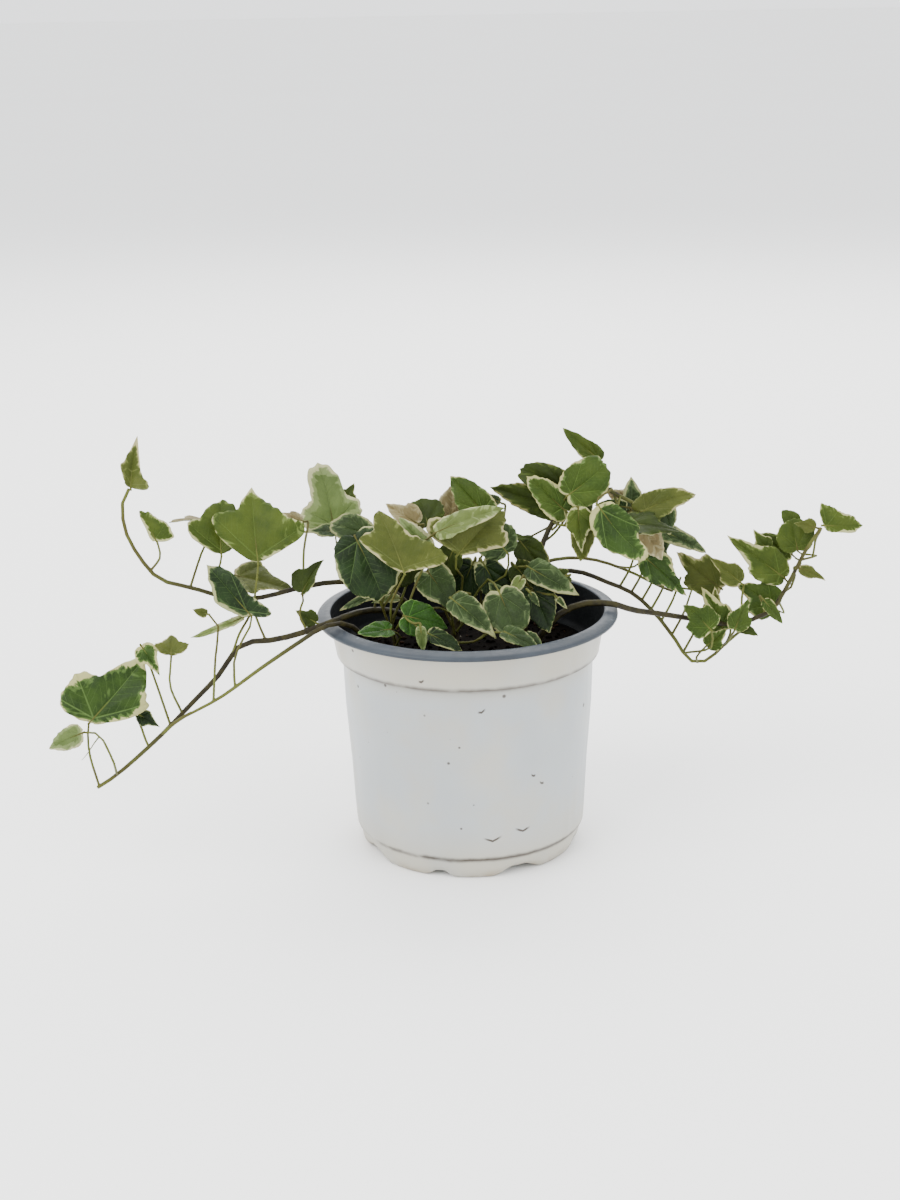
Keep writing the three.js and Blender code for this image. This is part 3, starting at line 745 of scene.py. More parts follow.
    @staticmethod
    def _scuff(n: Graph, place: Wire, turn: Wire, z: Wire, angle: float, level: float, size: float,
               tilt: float) -> Socket:
        """A short tick-shaped scrape.

        Args:
            n: The material's graph.
            place: Coordinates.
            turn: Angle about the pot's axis, in degrees.
            z: Height in metres.
            angle: The scrape's angle.
            level: Its height in millimetres.
            size: Its half length in millimetres.
            tilt: How much its long arm climbs.

        Returns:
            Where it is, from 0 to 1.
        """
        across = n.minus(turn, angle)
        arm = n.math("ABSOLUTE", across)
        climb = n.times(arm, 0.42 * MM)
        lean = n.times(across, tilt * MM)
        wobble = n.times(n.minus(n.grain(place, 700, 2.0), 0.5), 0.5 * MM)
        line = n.minus(n.plus(z, wobble), n.plus(n.plus(climb, lean), level * MM))
        thin = n.step(n.math("ABSOLUTE", line), 0.3 * MM, 0.8 * MM, 1.0, 0.0)
        ends = n.step(arm, 0.4 * size, size, 1.0, 0.0)
        return n.times(n.times(thin, ends), 0.95)


@dataclass(frozen=True)
class SolidFinish:
    """A plain moulding or soil finish with clouds, flecks and fine relief."""

    name: str
    dark: str
    light: str
    fleck: str
    cloud_scale: float = 60.0
    fleck_scale: float = 400.0
    fleck_share: float = 0.1
    rough_low: float = 0.35
    rough_high: float = 0.55
    relief: float = 0.0002
    relief_scale: float = 500.0
    shine: float = 0.3

    def build(self, effects: Effects) -> bpy.types.Material:
        """Make the material."""
        material, n, out = new_material(self.name)
        place = n.object_place()
        cloud = n.grain(place, self.cloud_scale, 4.0, 0.6)
        base = n.blend(n.step(cloud, 0.35, 0.65), self.dark, self.light)
        mark = effects.specks.use(n, Place=place, Scale=self.fleck_scale, Size=0.3,
                                  Share=self.fleck_share)["Mark"]
        base = n.blend(mark, base, self.fleck)
        fine = n.grain(place, self.relief_scale, 4.0, 0.65)
        rough = n.step(fine, 0.3, 0.7, self.rough_low, self.rough_high)
        n.feed(out.inputs[0], n.skin(base, rough, n.bump(fine, self.relief, 0.8), self.shine))
        return material


# ---- Leaves ----


@dataclass(frozen=True)
class Outline:
    """A leaf's outline from its stalk: pairs of angle from the tip and distance as a share of the length.

    The first half is the one that lies counter-clockwise, seen from the upper side. A leaf whose halves
    differ gives the second one too. The veins are the angles of the main veins.
    """

    half: tuple
    veins: tuple
    other: tuple = ()
    other_veins: tuple = ()

    def ribs(self, second: bool) -> tuple:
        """The vein angles of one half."""
        return self.other_veins if second and self.other_veins else self.veins

    def edge(self, second: bool, sway: np.random.Generator, spread: float) -> tuple[np.ndarray, np.ndarray]:
        """The smooth outline of one half, sampled along its length.

        Args:
            second: Which half.
            sway: Where small differences come from.
            spread: How large they are.

        Returns:
            Angles in radians and distances, from the tip round to the stalk.
        """
        rows = np.array(self.other if second and self.other else self.half, float)
        rows[1:-1, 1] *= 1 + spread * sway.uniform(-1, 1, len(rows) - 2)
        rows[1:-2, 0] += 20 * spread * sway.uniform(-1, 1, len(rows) - 3)
        turn = np.radians(rows[:, 0])
        line = np.stack([rows[:, 1] * np.cos(turn), rows[:, 1] * np.sin(turn)], 1)
        for _ in range(3):
            cut = np.empty((2 * len(line) - 2, 2))
            cut[0::2] = 0.8 * line[:-1] + 0.2 * line[1:]
            cut[1::2] = 0.2 * line[:-1] + 0.8 * line[1:]
            line = np.vstack([line[:1], cut, line[-1:]])
        angle = np.maximum.accumulate(np.arctan2(line[:, 1], line[:, 0]))
        return angle, np.hypot(line[:, 0], line[:, 1])


BULGE = ((0, 1), (8, .93), (16, .8), (24, .82), (34, .84), (40, .7), (46, .48), (56, .24), (90, .11),
         (180, .07))
LONG_LOBE = ((0, 1), (10, .84), (22, .66), (38, .57), (56, .58), (72, .63), (86, .72), (95, .74), (102, .68),
             (108, .48), (116, .22), (140, .1), (180, .07))


class Shape(Enum):
    """The outlines that this ivy's leaves have."""

    FIVE = Outline(((0, 1), (12, .82), (26, .66), (38, .72), (48, .78), (60, .66), (74, .58), (88, .56),
                    (104, .38), (130, .18), (180, .07)), (0, 48, 89))
    THREE = Outline(((0, 1), (13, .76), (30, .58), (48, .62), (60, .62), (80, .48), (104, .32), (135, .17),
                     (180, .07)), (0, 55, 98))
    HEART = Outline(((0, 1), (14, .84), (34, .68), (60, .56), (90, .5), (120, .4), (148, .26), (180, .07)),
                    (0, 36, 80))
    SPEAR = Outline(((0, 1), (12, .72), (30, .44), (60, .28), (100, .2), (140, .12), (180, .07)), (0, 24, 62))
    SHIELD = Outline(((0, 1), (15, .97), (32, .86), (52, .72), (74, .56), (100, .42), (130, .28), (155, .16),
                      (180, .07)), (0, 36, 82))
    OAK = Outline(((0, 1), (10, .96), (17, .84), (22, .66), (30, .53), (42, .53), (54, .56), (70, .52),
                   (88, .42),
                   (115, .2), (180, .07)), (0, 52, 86))
    MAPLE = Outline(((0, 1), (14, .9), (27, .71), (38, .74), (46, .76), (58, .56), (74, .26), (110, .12),
                     (180, .07)), (0, 42))
    BROAD = Outline(((0, 1), (10, .82), (22, .67), (33, .55), (50, .57), (64, .6), (82, .52), (101, .5),
                     (117, .38),
                     (135, .18), (180, .07)), (0, 62, 101),
                    ((0, 1), (8, .92), (19, .77), (30, .72), (37, .73), (45, .58), (53, .4), (64, .2),
                     (110, .1),
                     (180, .07)), (0, 35))
    TALL = Outline(((0, 1), (9, .86), (17, .76), (26, .8), (36, .86), (44, .84), (54, .62), (68, .3),
                    (100, .13),
                    (180, .07)), (0, 40),
                   ((0, 1), (8, .88), (20, .78), (40, .74), (55, .76), (64, .8), (72, .68), (83, .34),
                    (105, .14),
                    (180, .07)), (0, 62))
    TWIN = Outline(BULGE, (0, 32), LONG_LOBE, (0, 92))
    GULL = Outline(LONG_LOBE, (0, 92), BULGE, (0, 32))
    WINGED = Outline(((0, 1), (8, .8), (17, .66), (26, .58), (34, .53), (42, .4), (60, .2), (110, .11),
                      (180, .08)),
                     (0, 33),
                     ((0, 1), (8, .86), (20, .72), (27, .5), (45, .29), (75, .24), (110, .29), (137, .42),
                      (148, .34),
                      (162, .17), (180, .08)), (0, 18, 137))
    KITE = Outline(((0, 1), (8, .82), (16, .68), (25, .66), (33, .56), (46, .38), (62, .28), (95, .19),
                    (180, .07)),
                   (0, 27),
                   ((0, 1), (8, .92), (18, .75), (33, .58), (50, .42), (72, .3), (110, .16), (180, .07)),
                   (0, 30))
    WING = Outline(((0, 1), (8, .88), (18, .77), (35, .58), (54, .49), (75, .5), (95, .57), (108, .62),
                    (121, .38),
                    (140, .16), (180, .07)), (0, 54, 106),
                   ((0, 1), (7, .88), (14, .78), (21, .5), (32, .34), (60, .2), (100, .12), (180, .07)),
                   (0, 26))
    HOODED = Outline(((0, 1), (5, .8), (11, .62), (20, .51), (30, .49), (38, .34), (60, .17), (110, .1),
                      (180, .07)),
                     (0, 28),
                     ((0, 1), (6, .8), (13, .67), (24, .54), (44, .37), (62, .4), (78, .52), (92, .5),
                      (104, .34),
                      (120, .15), (180, .07)), (0, 82))
    HALF = Outline(((0, 1), (6, .74), (12, .5), (24, .3), (60, .15), (110, .1), (180, .07)), (0, 20),
                   ((0, 1), (8, .9), (18, .79), (32, .64), (46, .6), (64, .64), (84, .57), (100, .57),
                    (115, .62),
                    (128, .38), (148, .16), (180, .07)), (0, 64, 114))


@dataclass(frozen=True)
class Seat:
    """Where a blade sits: its base, its own directions and its size."""

    base: np.ndarray
    forward: np.ndarray
    side: np.ndarray
    up: np.ndarray
    length: float
    half_width: float
    slope: float

    @classmethod
    def of(cls, node: str) -> "Seat":
        """Read a blade's seat from its frame node.

        Args:
            node: The blade's node.

        Returns:
            The seat.
        """
        points, triangles = Bench.welded(node)
        poles = np.argsort(np.bincount(triangles.ravel(), minlength=len(points)))[-2:]
        base = points[poles].mean(0)
        up = Bench.unit(points[poles[0]] - points[poles[1]])
        reach = points[np.argmax(np.linalg.norm(points - base, axis=1))] - base
        if reach @ up > 0:
            up = -up
        flat = reach - up * (reach @ up)
        length = float(np.linalg.norm(flat))
        forward = flat / length
        side = np.cross(up, forward)
        x, y, z = (points - base) @ forward, (points - base) @ side, (points - base) @ up
        far = int(np.argmax(np.abs(y)))
        rise = z[far] + 0.12 * (x[far] ** 2 + 0.5 * y[far] ** 2) / length
        return cls(base, forward, side, up, length, float(abs(y[far])), float(rise / abs(y[far])))

    @classmethod
    def at(cls, base: Sequence[float], tip: Sequence[float], face: Sequence[float], width: float,
           fold: float) -> "Seat":
        """Make a seat from a base, a tip and the way the upper side faces.

        Args:
            base: Where the stalk meets the blade.
            tip: The blade's tip.
            face: The way its upper side looks.
            width: Its width beside its length.
            fold: Its fold along the middle, in degrees.

        Returns:
            The seat.
        """
        base, tip = np.array(base, float), np.array(tip, float)
        length = float(np.linalg.norm(tip - base))
        forward = (tip - base) / length
        side = Bench.unit(np.cross(np.array(face, float), forward))
        return cls(base, forward, side, np.cross(forward, side), length, width * length / 2,
                   math.tan(math.radians(fold)))


class Coat(Enum):
    """How a leaf is coloured on the side that shows, with the record's material slot that it belongs to."""

    DARK = ("leaf_dark", "dark")
    PANEL = ("leaf_dark", "panel")
    SHADED = ("leaf_dark", "shaded")
    GREEN = ("leaf_green", "green")
    FRESH = ("leaf_green", "fresh")
    BRIGHT = ("leaf_green", "bright")
    GREY = ("leaf_grey", "grey")
    HALO = ("leaf_grey", "halo")
    PALE = ("leaf_grey", "pale")
    BLUSH = ("leaf_grey", "blush")
    OLIVE = ("leaf_olive", "olive")

    @property
    def slot(self) -> str:
        """The record's material slot."""
        return self.value[0]


@dataclass(frozen=True)
class LeafPlan:
    """How one leaf is shaped and dressed."""

    shape: Shape
    coat: Coat
    ripple: float = 0.5
    curl: float = 0.12
    bend: float = 0.0


class LeafMaker:
    """Cuts every blade from one ringed disc."""

    spokes: int = 144
    rings: int = 15
    thickness: float = 0.34 * MM

    def __init__(self) -> None:
        """Model the disc once."""
        self.disc = Bench.disc("blade_disc", self.spokes, 1.0)
        Bench.edit(self.disc, "FACE")
        bpy.ops.mesh.select_all(action="SELECT")
        for _ in range(self.rings - 1):
            bpy.ops.mesh.inset(thickness=1.0 / self.rings, depth=0.0)
        bpy.ops.mesh.poke()
        Bench.close()
        flat = np.array([v.co for v in self.disc.data.vertices])[:, :2]
        radius = np.hypot(flat[:, 0], flat[:, 1])
        turn = np.arctan2(flat[:, 1], flat[:, 0])
        self.share = radius / radius.max()
        self.spoke = np.round(turn / (2 * math.pi) * self.spokes).astype(int) % self.spokes
        self.disc.hide_render = True

    def _rays(self, shape: Shape, sway: np.random.Generator, spread: float) -> tuple[np.ndarray, np.ndarray]:
        """Angle and distance of the margin at each spoke, with spokes on the veins.

        Args:
            shape: The outline.
            sway: Where small differences come from.
            spread: How large they are.

        Returns:
            Angles and distances, in spoke order.
        """
        half = self.spokes // 2
        sides = []
        for left in (False, True):
            angle, reach = shape.value.edge(left, sway, spread)
            points = np.stack([reach * np.cos(angle), reach * np.sin(angle)], 1)
            arc = np.concatenate([[0], np.cumsum(np.linalg.norm(np.diff(points, axis=0), axis=1))])
            ribs = shape.value.ribs(left)[1:]
            knots = [0.0, *[float(np.interp(math.radians(v), angle, arc)) for v in ribs], arc[-1]]
            counts = [max(4, round(half * (b - a) / arc[-1])) for a, b in zip(knots, knots[1:])]
            counts[-1] = half - sum(counts[:-1])
            stops = [np.linspace(a, b, c, endpoint=False) for a, b, c in zip(knots, knots[1:], counts)]
            stops = np.concatenate([*stops, [arc[-1]]])
            sides.append((np.interp(stops, arc, angle), np.interp(stops, arc, reach)))
        (ra, rr), (la, lr) = sides
        return np.concatenate([ra, -la[-2:0:-1]]), np.concatenate([rr, lr[-2:0:-1]])

    def blade(self, name: str, seat: Seat, plan: LeafPlan) -> bpy.types.Object:
        """Cut and shape one blade.

        Args:
            name: The object's name.
            seat: Where it sits.
            plan: How it is shaped.

        Returns:
            The blade, with its UV maps.
        """
        sway = np.random.default_rng(sum(ord(c) * (i + 3) for i, c in enumerate(name)) + SEED)
        angle, margin = self._rays(plan.shape, sway, 0.05)
        here = SEED + seat.base[0] * 90
        teeth = np.array([noise.noise(Vector((9 * a, 4 * r, here))) for a, r in zip(angle, margin)])
        margin = margin * (1 + 0.055 * teeth * (np.abs(angle) < 2.2))
        broad = float(np.max(np.abs(margin * np.sin(angle))))
        stretch = seat.half_width / (broad * seat.length)
        theta, share = angle[self.spoke], self.share ** 0.9
        reach = margin[self.spoke] * share
        x, y = reach * np.cos(theta), reach * np.sin(theta)
        along, across = self._beside_veins(theta, reach, plan.shape.value)
        rim = np.stack([margin * np.cos(angle), stretch * margin * np.sin(angle)], 1)
        inset = self._from_margin(np.stack([x, stretch * y], 1), rim)
        arc = np.unwrap(theta)
        turn = (plan.bend + 0.07 * sway.normal()) * reach**2
        px = x * np.cos(turn) - stretch * y * np.sin(turn)
        py = x * np.sin(turn) + stretch * y * np.cos(turn)
        length = seat.length
        z = np.abs(stretch * y) * length * seat.slope - 0.12 * length * (px**2 + 0.5 * py**2)
        phase = sway.uniform(0, 6.28, 3)
        wave = np.sin(7 * arc + phase[0]) + 0.6 * np.sin(13 * arc + phase[1])
        z = z + plan.ripple * MM * wave * share**4 * (length / 0.03)
        groove = np.exp(-((across * length / (0.8 * MM)) ** 2))
        z = z - 0.22 * MM * groove * (1 - 0.6 * share) * min(1.0, length / 0.02)
        pillow = np.clip(across / 0.16, 0, 1) * (inset / (inset + 0.1))
        z = z + 0.9 * MM * pillow * (length / 0.03)
        waviness = 0.6 + 0.4 * np.sin(2 * arc + phase[2])
        z = z - plan.curl * length * np.clip(share - 0.55, 0, 1) ** 2 * waviness
        flat = np.outer(px * length, seat.forward) + np.outer(py * length, seat.side)
        points = seat.base + flat + np.outer(z, seat.up)
        mesh = self.disc.data.copy()
        mesh.name = name
        mesh.vertices.foreach_set("co", points.astype(np.float32).ravel())
        piece = Bench.link(name, mesh)
        self._map(mesh, "leaf", x, y)
        self._map(mesh, "veins", along, across)
        self._map(mesh, "margin", inset, share)
        mesh.update()
        normals = np.array([p.normal for p in mesh.polygons])
        if float((normals @ seat.up).mean()) < 0:
            mesh.flip_normals()
        Bench.hold(piece)
        return piece

    @staticmethod
    def _beside_veins(theta: np.ndarray, reach: np.ndarray, outline: Outline) -> tuple[np.ndarray,
                                                                                       np.ndarray]:
        """Distance along and away from the nearest main vein.

        Args:
            theta: Angles from the tip.
            reach: Distances from the base.
            outline: The leaf's outline.

        Returns:
            Distances along and away.
        """
        first = np.min([np.abs(theta - math.radians(v)) for v in outline.ribs(False)], axis=0)
        second = np.min([np.abs(-theta - math.radians(v)) for v in outline.ribs(True)], axis=0)
        off = np.where(theta >= 0, first, second)
        return reach * np.cos(off), reach * np.sin(np.minimum(off, math.pi / 2))

    @staticmethod
    def _from_margin(points: np.ndarray, rim: np.ndarray) -> np.ndarray:
        """Distance from the margin.

        Args:
            points: Places on the blade.
            rim: The margin, in order.

        Returns:
            The distance at each place.
        """
        a, b = rim, np.roll(rim, -1, axis=0)
        run = b - a
        scale = np.maximum((run**2).sum(1), 1e-12)
        t = np.clip(((points[:, None] - a) * run).sum(2) / scale, 0, 1)
        return np.linalg.norm(points[:, None] - (a + t[..., None] * run), axis=2).min(1)

    @staticmethod
    def _map(mesh: bpy.types.Mesh, name: str, u: np.ndarray, v: np.ndarray) -> None:
        """Store two values at each vertex as a UV map."""
        layer = mesh.uv_layers.get(name) or mesh.uv_layers.new(name=name)
        index = np.empty(len(mesh.loops), int)
        mesh.loops.foreach_get("vertex_index", index)
        layer.data.foreach_set("uv", np.stack([u[index], v[index]], 1).astype(np.float32).ravel())

    def finish(self, piece: bpy.types.Object, seat: Seat, materials: Sequence[bpy.types.Material],
               stalk: bpy.types.Material, root: Optional[np.ndarray] = None) -> bpy.types.Object:
        """Give a blade its thickness, its two sides and the end of its stalk.

        Args:
            piece: The blade.
            seat: Where it sits.
            materials: The finish of the side that faces up, and of the other.
            stalk: The stalk's finish.
            root: Where a stalk of its own starts on a vine, if it has one.

        Returns:
            The finished leaf.
        """
        Bench.dress(piece, *materials)
        Bench.modify(piece, "SOLIDIFY", thickness=self.thickness, offset=0.0, material_offset=1,
                     material_offset_rim=1, use_even_offset=False)
        length = seat.length
        gap = 0.07 * length + 0.85 * MM
        stops = (-gap - 0.5 * MM, -0.6 * gap, 0.02 * length, 0.14 * length, 0.3 * length)
        places = [seat.base + seat.forward * s - seat.up * d * MM
                  for s, d in zip(stops, (0.02, 0.02, 0.08, 0.1, 0.12 + 0.011 * length / MM))]
        taper = 3 * len(places) - 2
        if root is not None:
            rise = places[0] - root
            bow = np.array([0.0, 0.0, 0.06 * np.linalg.norm(rise)])
            below = places[0] - seat.up * 2 * MM - seat.forward * 1.5 * MM
            places = [root, root + 0.3 * rise - bow, root + 0.65 * rise - 0.5 * bow, below, *places]
        line = Tube.curve(places, 3)
        radii = np.concatenate([np.full(len(line) - taper, 0.58), np.linspace(0.58, 0.16, taper)]) * MM
        cap = Tube.make(piece.name + "_stalk", line, radii, 8)
        Bench.dress(cap, stalk)
        Bench.store_girth(cap, [0.0] * len(cap.data.vertices))
        Bench.join(piece, cap)
        Bench.smooth(piece)
        return piece


class Foliage:
    """Every leaf of the plant."""

    plans: dict[str, LeafPlan] = {
        "upper_left_1": LeafPlan(Shape.OAK, Coat.HALO),
        "upper_left_2": LeafPlan(Shape.THREE, Coat.OLIVE),
        "upper_left_3": LeafPlan(Shape.MAPLE, Coat.BRIGHT),
        "upper_left_4": LeafPlan(Shape.THREE, Coat.BLUSH),
        "upper_left_5": LeafPlan(Shape.HALF, Coat.BRIGHT),
        "upper_left_6": LeafPlan(Shape.HOODED, Coat.OLIVE, 0.6, 0.2),
        "lower_left_1": LeafPlan(Shape.SHIELD, Coat.GREY),
        "lower_left_2": LeafPlan(Shape.THREE, Coat.SHADED),
        "lower_left_3": LeafPlan(Shape.TALL, Coat.BRIGHT, 0.6, 0.1),
        "lower_left_4": LeafPlan(Shape.THREE, Coat.OLIVE, 0.7, 0.25),
        "lower_left_5": LeafPlan(Shape.THREE, Coat.PANEL),
        "lower_left_6": LeafPlan(Shape.BROAD, Coat.PANEL, 0.9, 0.1),
        "lower_left_7": LeafPlan(Shape.SPEAR, Coat.HALO),
        "lower_left_branch_1": LeafPlan(Shape.WINGED, Coat.DARK),
        "lower_left_branch_2": LeafPlan(Shape.SPEAR, Coat.OLIVE),
        "crown_left_1": LeafPlan(Shape.HEART, Coat.FRESH),
        "crown_left_2": LeafPlan(Shape.TWIN, Coat.OLIVE, 0.9, 0.12),
        "crown_left_3": LeafPlan(Shape.SHIELD, Coat.DARK),
        "crown_middle_1": LeafPlan(Shape.HEART, Coat.FRESH),
        "crown_middle_2": LeafPlan(Shape.HEART, Coat.GREY),
        "crown_middle_3": LeafPlan(Shape.SPEAR, Coat.GREY),
        "crown_middle_4": LeafPlan(Shape.SHIELD, Coat.GREY),
        "crown_middle_5": LeafPlan(Shape.HEART, Coat.GREY),
        "crown_middle_6": LeafPlan(Shape.HEART, Coat.DARK),
        "crown_middle_7": LeafPlan(Shape.SPEAR, Coat.PALE, 0.4, 0.3),
        "crown_middle_8": LeafPlan(Shape.GULL, Coat.OLIVE, 0.9, 0.12),
        "crown_middle_9": LeafPlan(Shape.SHIELD, Coat.SHADED),
        "crown_middle_10": LeafPlan(Shape.HEART, Coat.GREEN),
        "crown_middle_11": LeafPlan(Shape.HEART, Coat.SHADED),
        "crown_middle_12": LeafPlan(Shape.THREE, Coat.GREY),
        "top_right_1": LeafPlan(Shape.SPEAR, Coat.GREY),
        "top_right_2": LeafPlan(Shape.THREE, Coat.BRIGHT),
        "top_right_3": LeafPlan(Shape.SHIELD, Coat.SHADED),
        "top_right_4": LeafPlan(Shape.SHIELD, Coat.GREEN),
        "top_right_5": LeafPlan(Shape.KITE, Coat.PANEL),
        "top_right_6": LeafPlan(Shape.SPEAR, Coat.BRIGHT),
        "top_right_7": LeafPlan(Shape.SPEAR, Coat.GREY),
        "top_right_8": LeafPlan(Shape.THREE, Coat.SHADED),
        "top_right_9": LeafPlan(Shape.HEART, Coat.OLIVE),
        "right_long_1": LeafPlan(Shape.THREE, Coat.OLIVE),
        "right_long_2": LeafPlan(Shape.FIVE, Coat.GREEN),
        "right_long_3": LeafPlan(Shape.THREE, Coat.BRIGHT),
        "right_long_4": LeafPlan(Shape.SHIELD, Coat.BRIGHT),
        "right_long_5": LeafPlan(Shape.WING, Coat.BRIGHT),
        "right_long_6": LeafPlan(Shape.SHIELD, Coat.BRIGHT),
        "right_low_1": LeafPlan(Shape.FIVE, Coat.GREEN),
        "right_low_2": LeafPlan(Shape.THREE, Coat.GREEN),
        "right_short_1": LeafPlan(Shape.FIVE, Coat.OLIVE),
        "right_short_2": LeafPlan(Shape.THREE, Coat.GREY),
    }

    def __init__(self, effects: Effects, stalk: bpy.types.Material) -> None:
        """Mix the finishes and model the disc.

        Args:
            effects: The shared groups.
            stalk: The stalks' finish.
        """
        self.stalk = stalk
        self.maker = LeafMaker()
        rows = (
            LeafFinish("leaf_dark_upper", "0F1B08", "18290E", "344424", "8C8E62", "4C6036", "2C4A10",
                       0.016, 0.035, 0.8, 0.0, 0.5, 0.25, 0.4, 0.1),
            LeafFinish("leaf_green_upper", "28390C", "354412", "566A38", "9E9C68", "66803C", "567420",
                       0.016, 0.035, 0.9, 0.0, 0.35, 0.2, 0.45, 0.16),
            LeafFinish("leaf_panel_upper", "1C2E0B", "2A3E12", "485E2C", "A09E6A", "58703A", "425E18",
                       0.023, 0.06, 1.3, 0.05, 0.55, 0.22, 0.42, 0.12),
            LeafFinish("leaf_grey_upper", "1B280E", "283718", "465432", "82845A", "586A42", "465E22",
                       0.022, 0.07, 1.0, 0.2, 0.45, 0.2, 0.44, 0.12),
            LeafFinish("leaf_fresh_upper", "1B380A", "27460F", "42682A", "6C8648", "5A8838", "3C6A14",
                       0.004, 0.01, 0.3, 0.0, 0.45, 0.2, 0.28, 0.14),
            LeafFinish("leaf_halo_upper", "4A5A2C", "566636", "707E4E", "A4A47A", "66764A", "70803A",
                       0.022, 0.1, 0.9, 0.0, 0.25, 0.04, 0.5, 0.2),
            LeafFinish("leaf_olive_under", "3A4216", "484E1F", "636A38", "9A946A", "606838", "5E661E",
                       0.010, 0.03, 0.8, 0.0, 0.35, 0.16, 0.55, 0.18, 1.0),
            LeafFinish("leaf_green_under", "2F3D0F", "3E4A16", "5C6A34", "A0A070", "5A6E32", "5E7420",
                       0.010, 0.026, 1.0, 0.0, 0.35, 0.16, 0.5, 0.2, 1.0),
            LeafFinish("leaf_shaded_under", "202A06", "2A360A", "3E4A18", "77744A", "3A4816", "3A4C0C",
                       0.006, 0.02, 0.6, 0.0, 0.3, 0.14, 0.5, 0.1, 1.0),
            LeafFinish("leaf_pale_under", "505C2C", "5E6C38", "7A8654", "A4A476", "68764A", "707E38",
                       0.022, 0.06, 0.9, 0.1, 0.35, 0.16, 0.55, 0.2, 1.0),
            LeafFinish("leaf_blush_under", "665A3A", "746A48", "867E5C", "A49C7A", "786A4C", "807048",
                       0.03, 0.1, 1.2, 0.5, 0.3, 0.14, 0.55, 0.2, 1.0),
        )
        made = {row.name: row.build(effects) for row in rows}
        sides = {
            Coat.DARK: ("dark_upper", "green_under"),
            Coat.GREEN: ("green_upper", "olive_under"),
            Coat.PANEL: ("panel_upper", "green_under"),
            Coat.GREY: ("grey_upper", "olive_under"),
            Coat.FRESH: ("fresh_upper", "green_under"),
            Coat.HALO: ("halo_upper", "pale_under"),
            Coat.OLIVE: ("olive_under", "green_upper"),
            Coat.BRIGHT: ("green_under", "green_upper"),
            Coat.SHADED: ("shaded_under", "dark_upper"),
            Coat.PALE: ("pale_under", "grey_upper"),
            Coat.BLUSH: ("blush_under", "grey_upper"),
        }
        self.pairs = {coat: [made["leaf_" + side] for side in pair] for coat, pair in sides.items()}

    def build(self) -> None:
        """Make every leaf that the frame has."""
        for key, plan in self.plans.items():
            node = "leaf_" + key
            seat = Seat.of(node)
            piece = self.maker.blade("ivy_leaf_" + key, seat, plan)
            self.maker.finish(piece, seat, self.pairs[plan.coat], self.stalk)
            Bench.hand_over(piece, plan.coat.slot, node)


@dataclass(frozen=True)
class Sprig:
    """A small leaf that grows between the larger ones.

    Its base and its tip are in millimetres from the middle of a neighbouring leaf's box. Its stalk starts on
    the neighbour's vine unless another is named, at a place that is a drop in millimetres below the base.
    """

    near: str
    shape: Shape
    coat: Coat
    base: tuple
    tip: tuple
    width: float
    drop: float
    face: tuple = (0.0, -1.0, 0.4)
    vine: str = ""


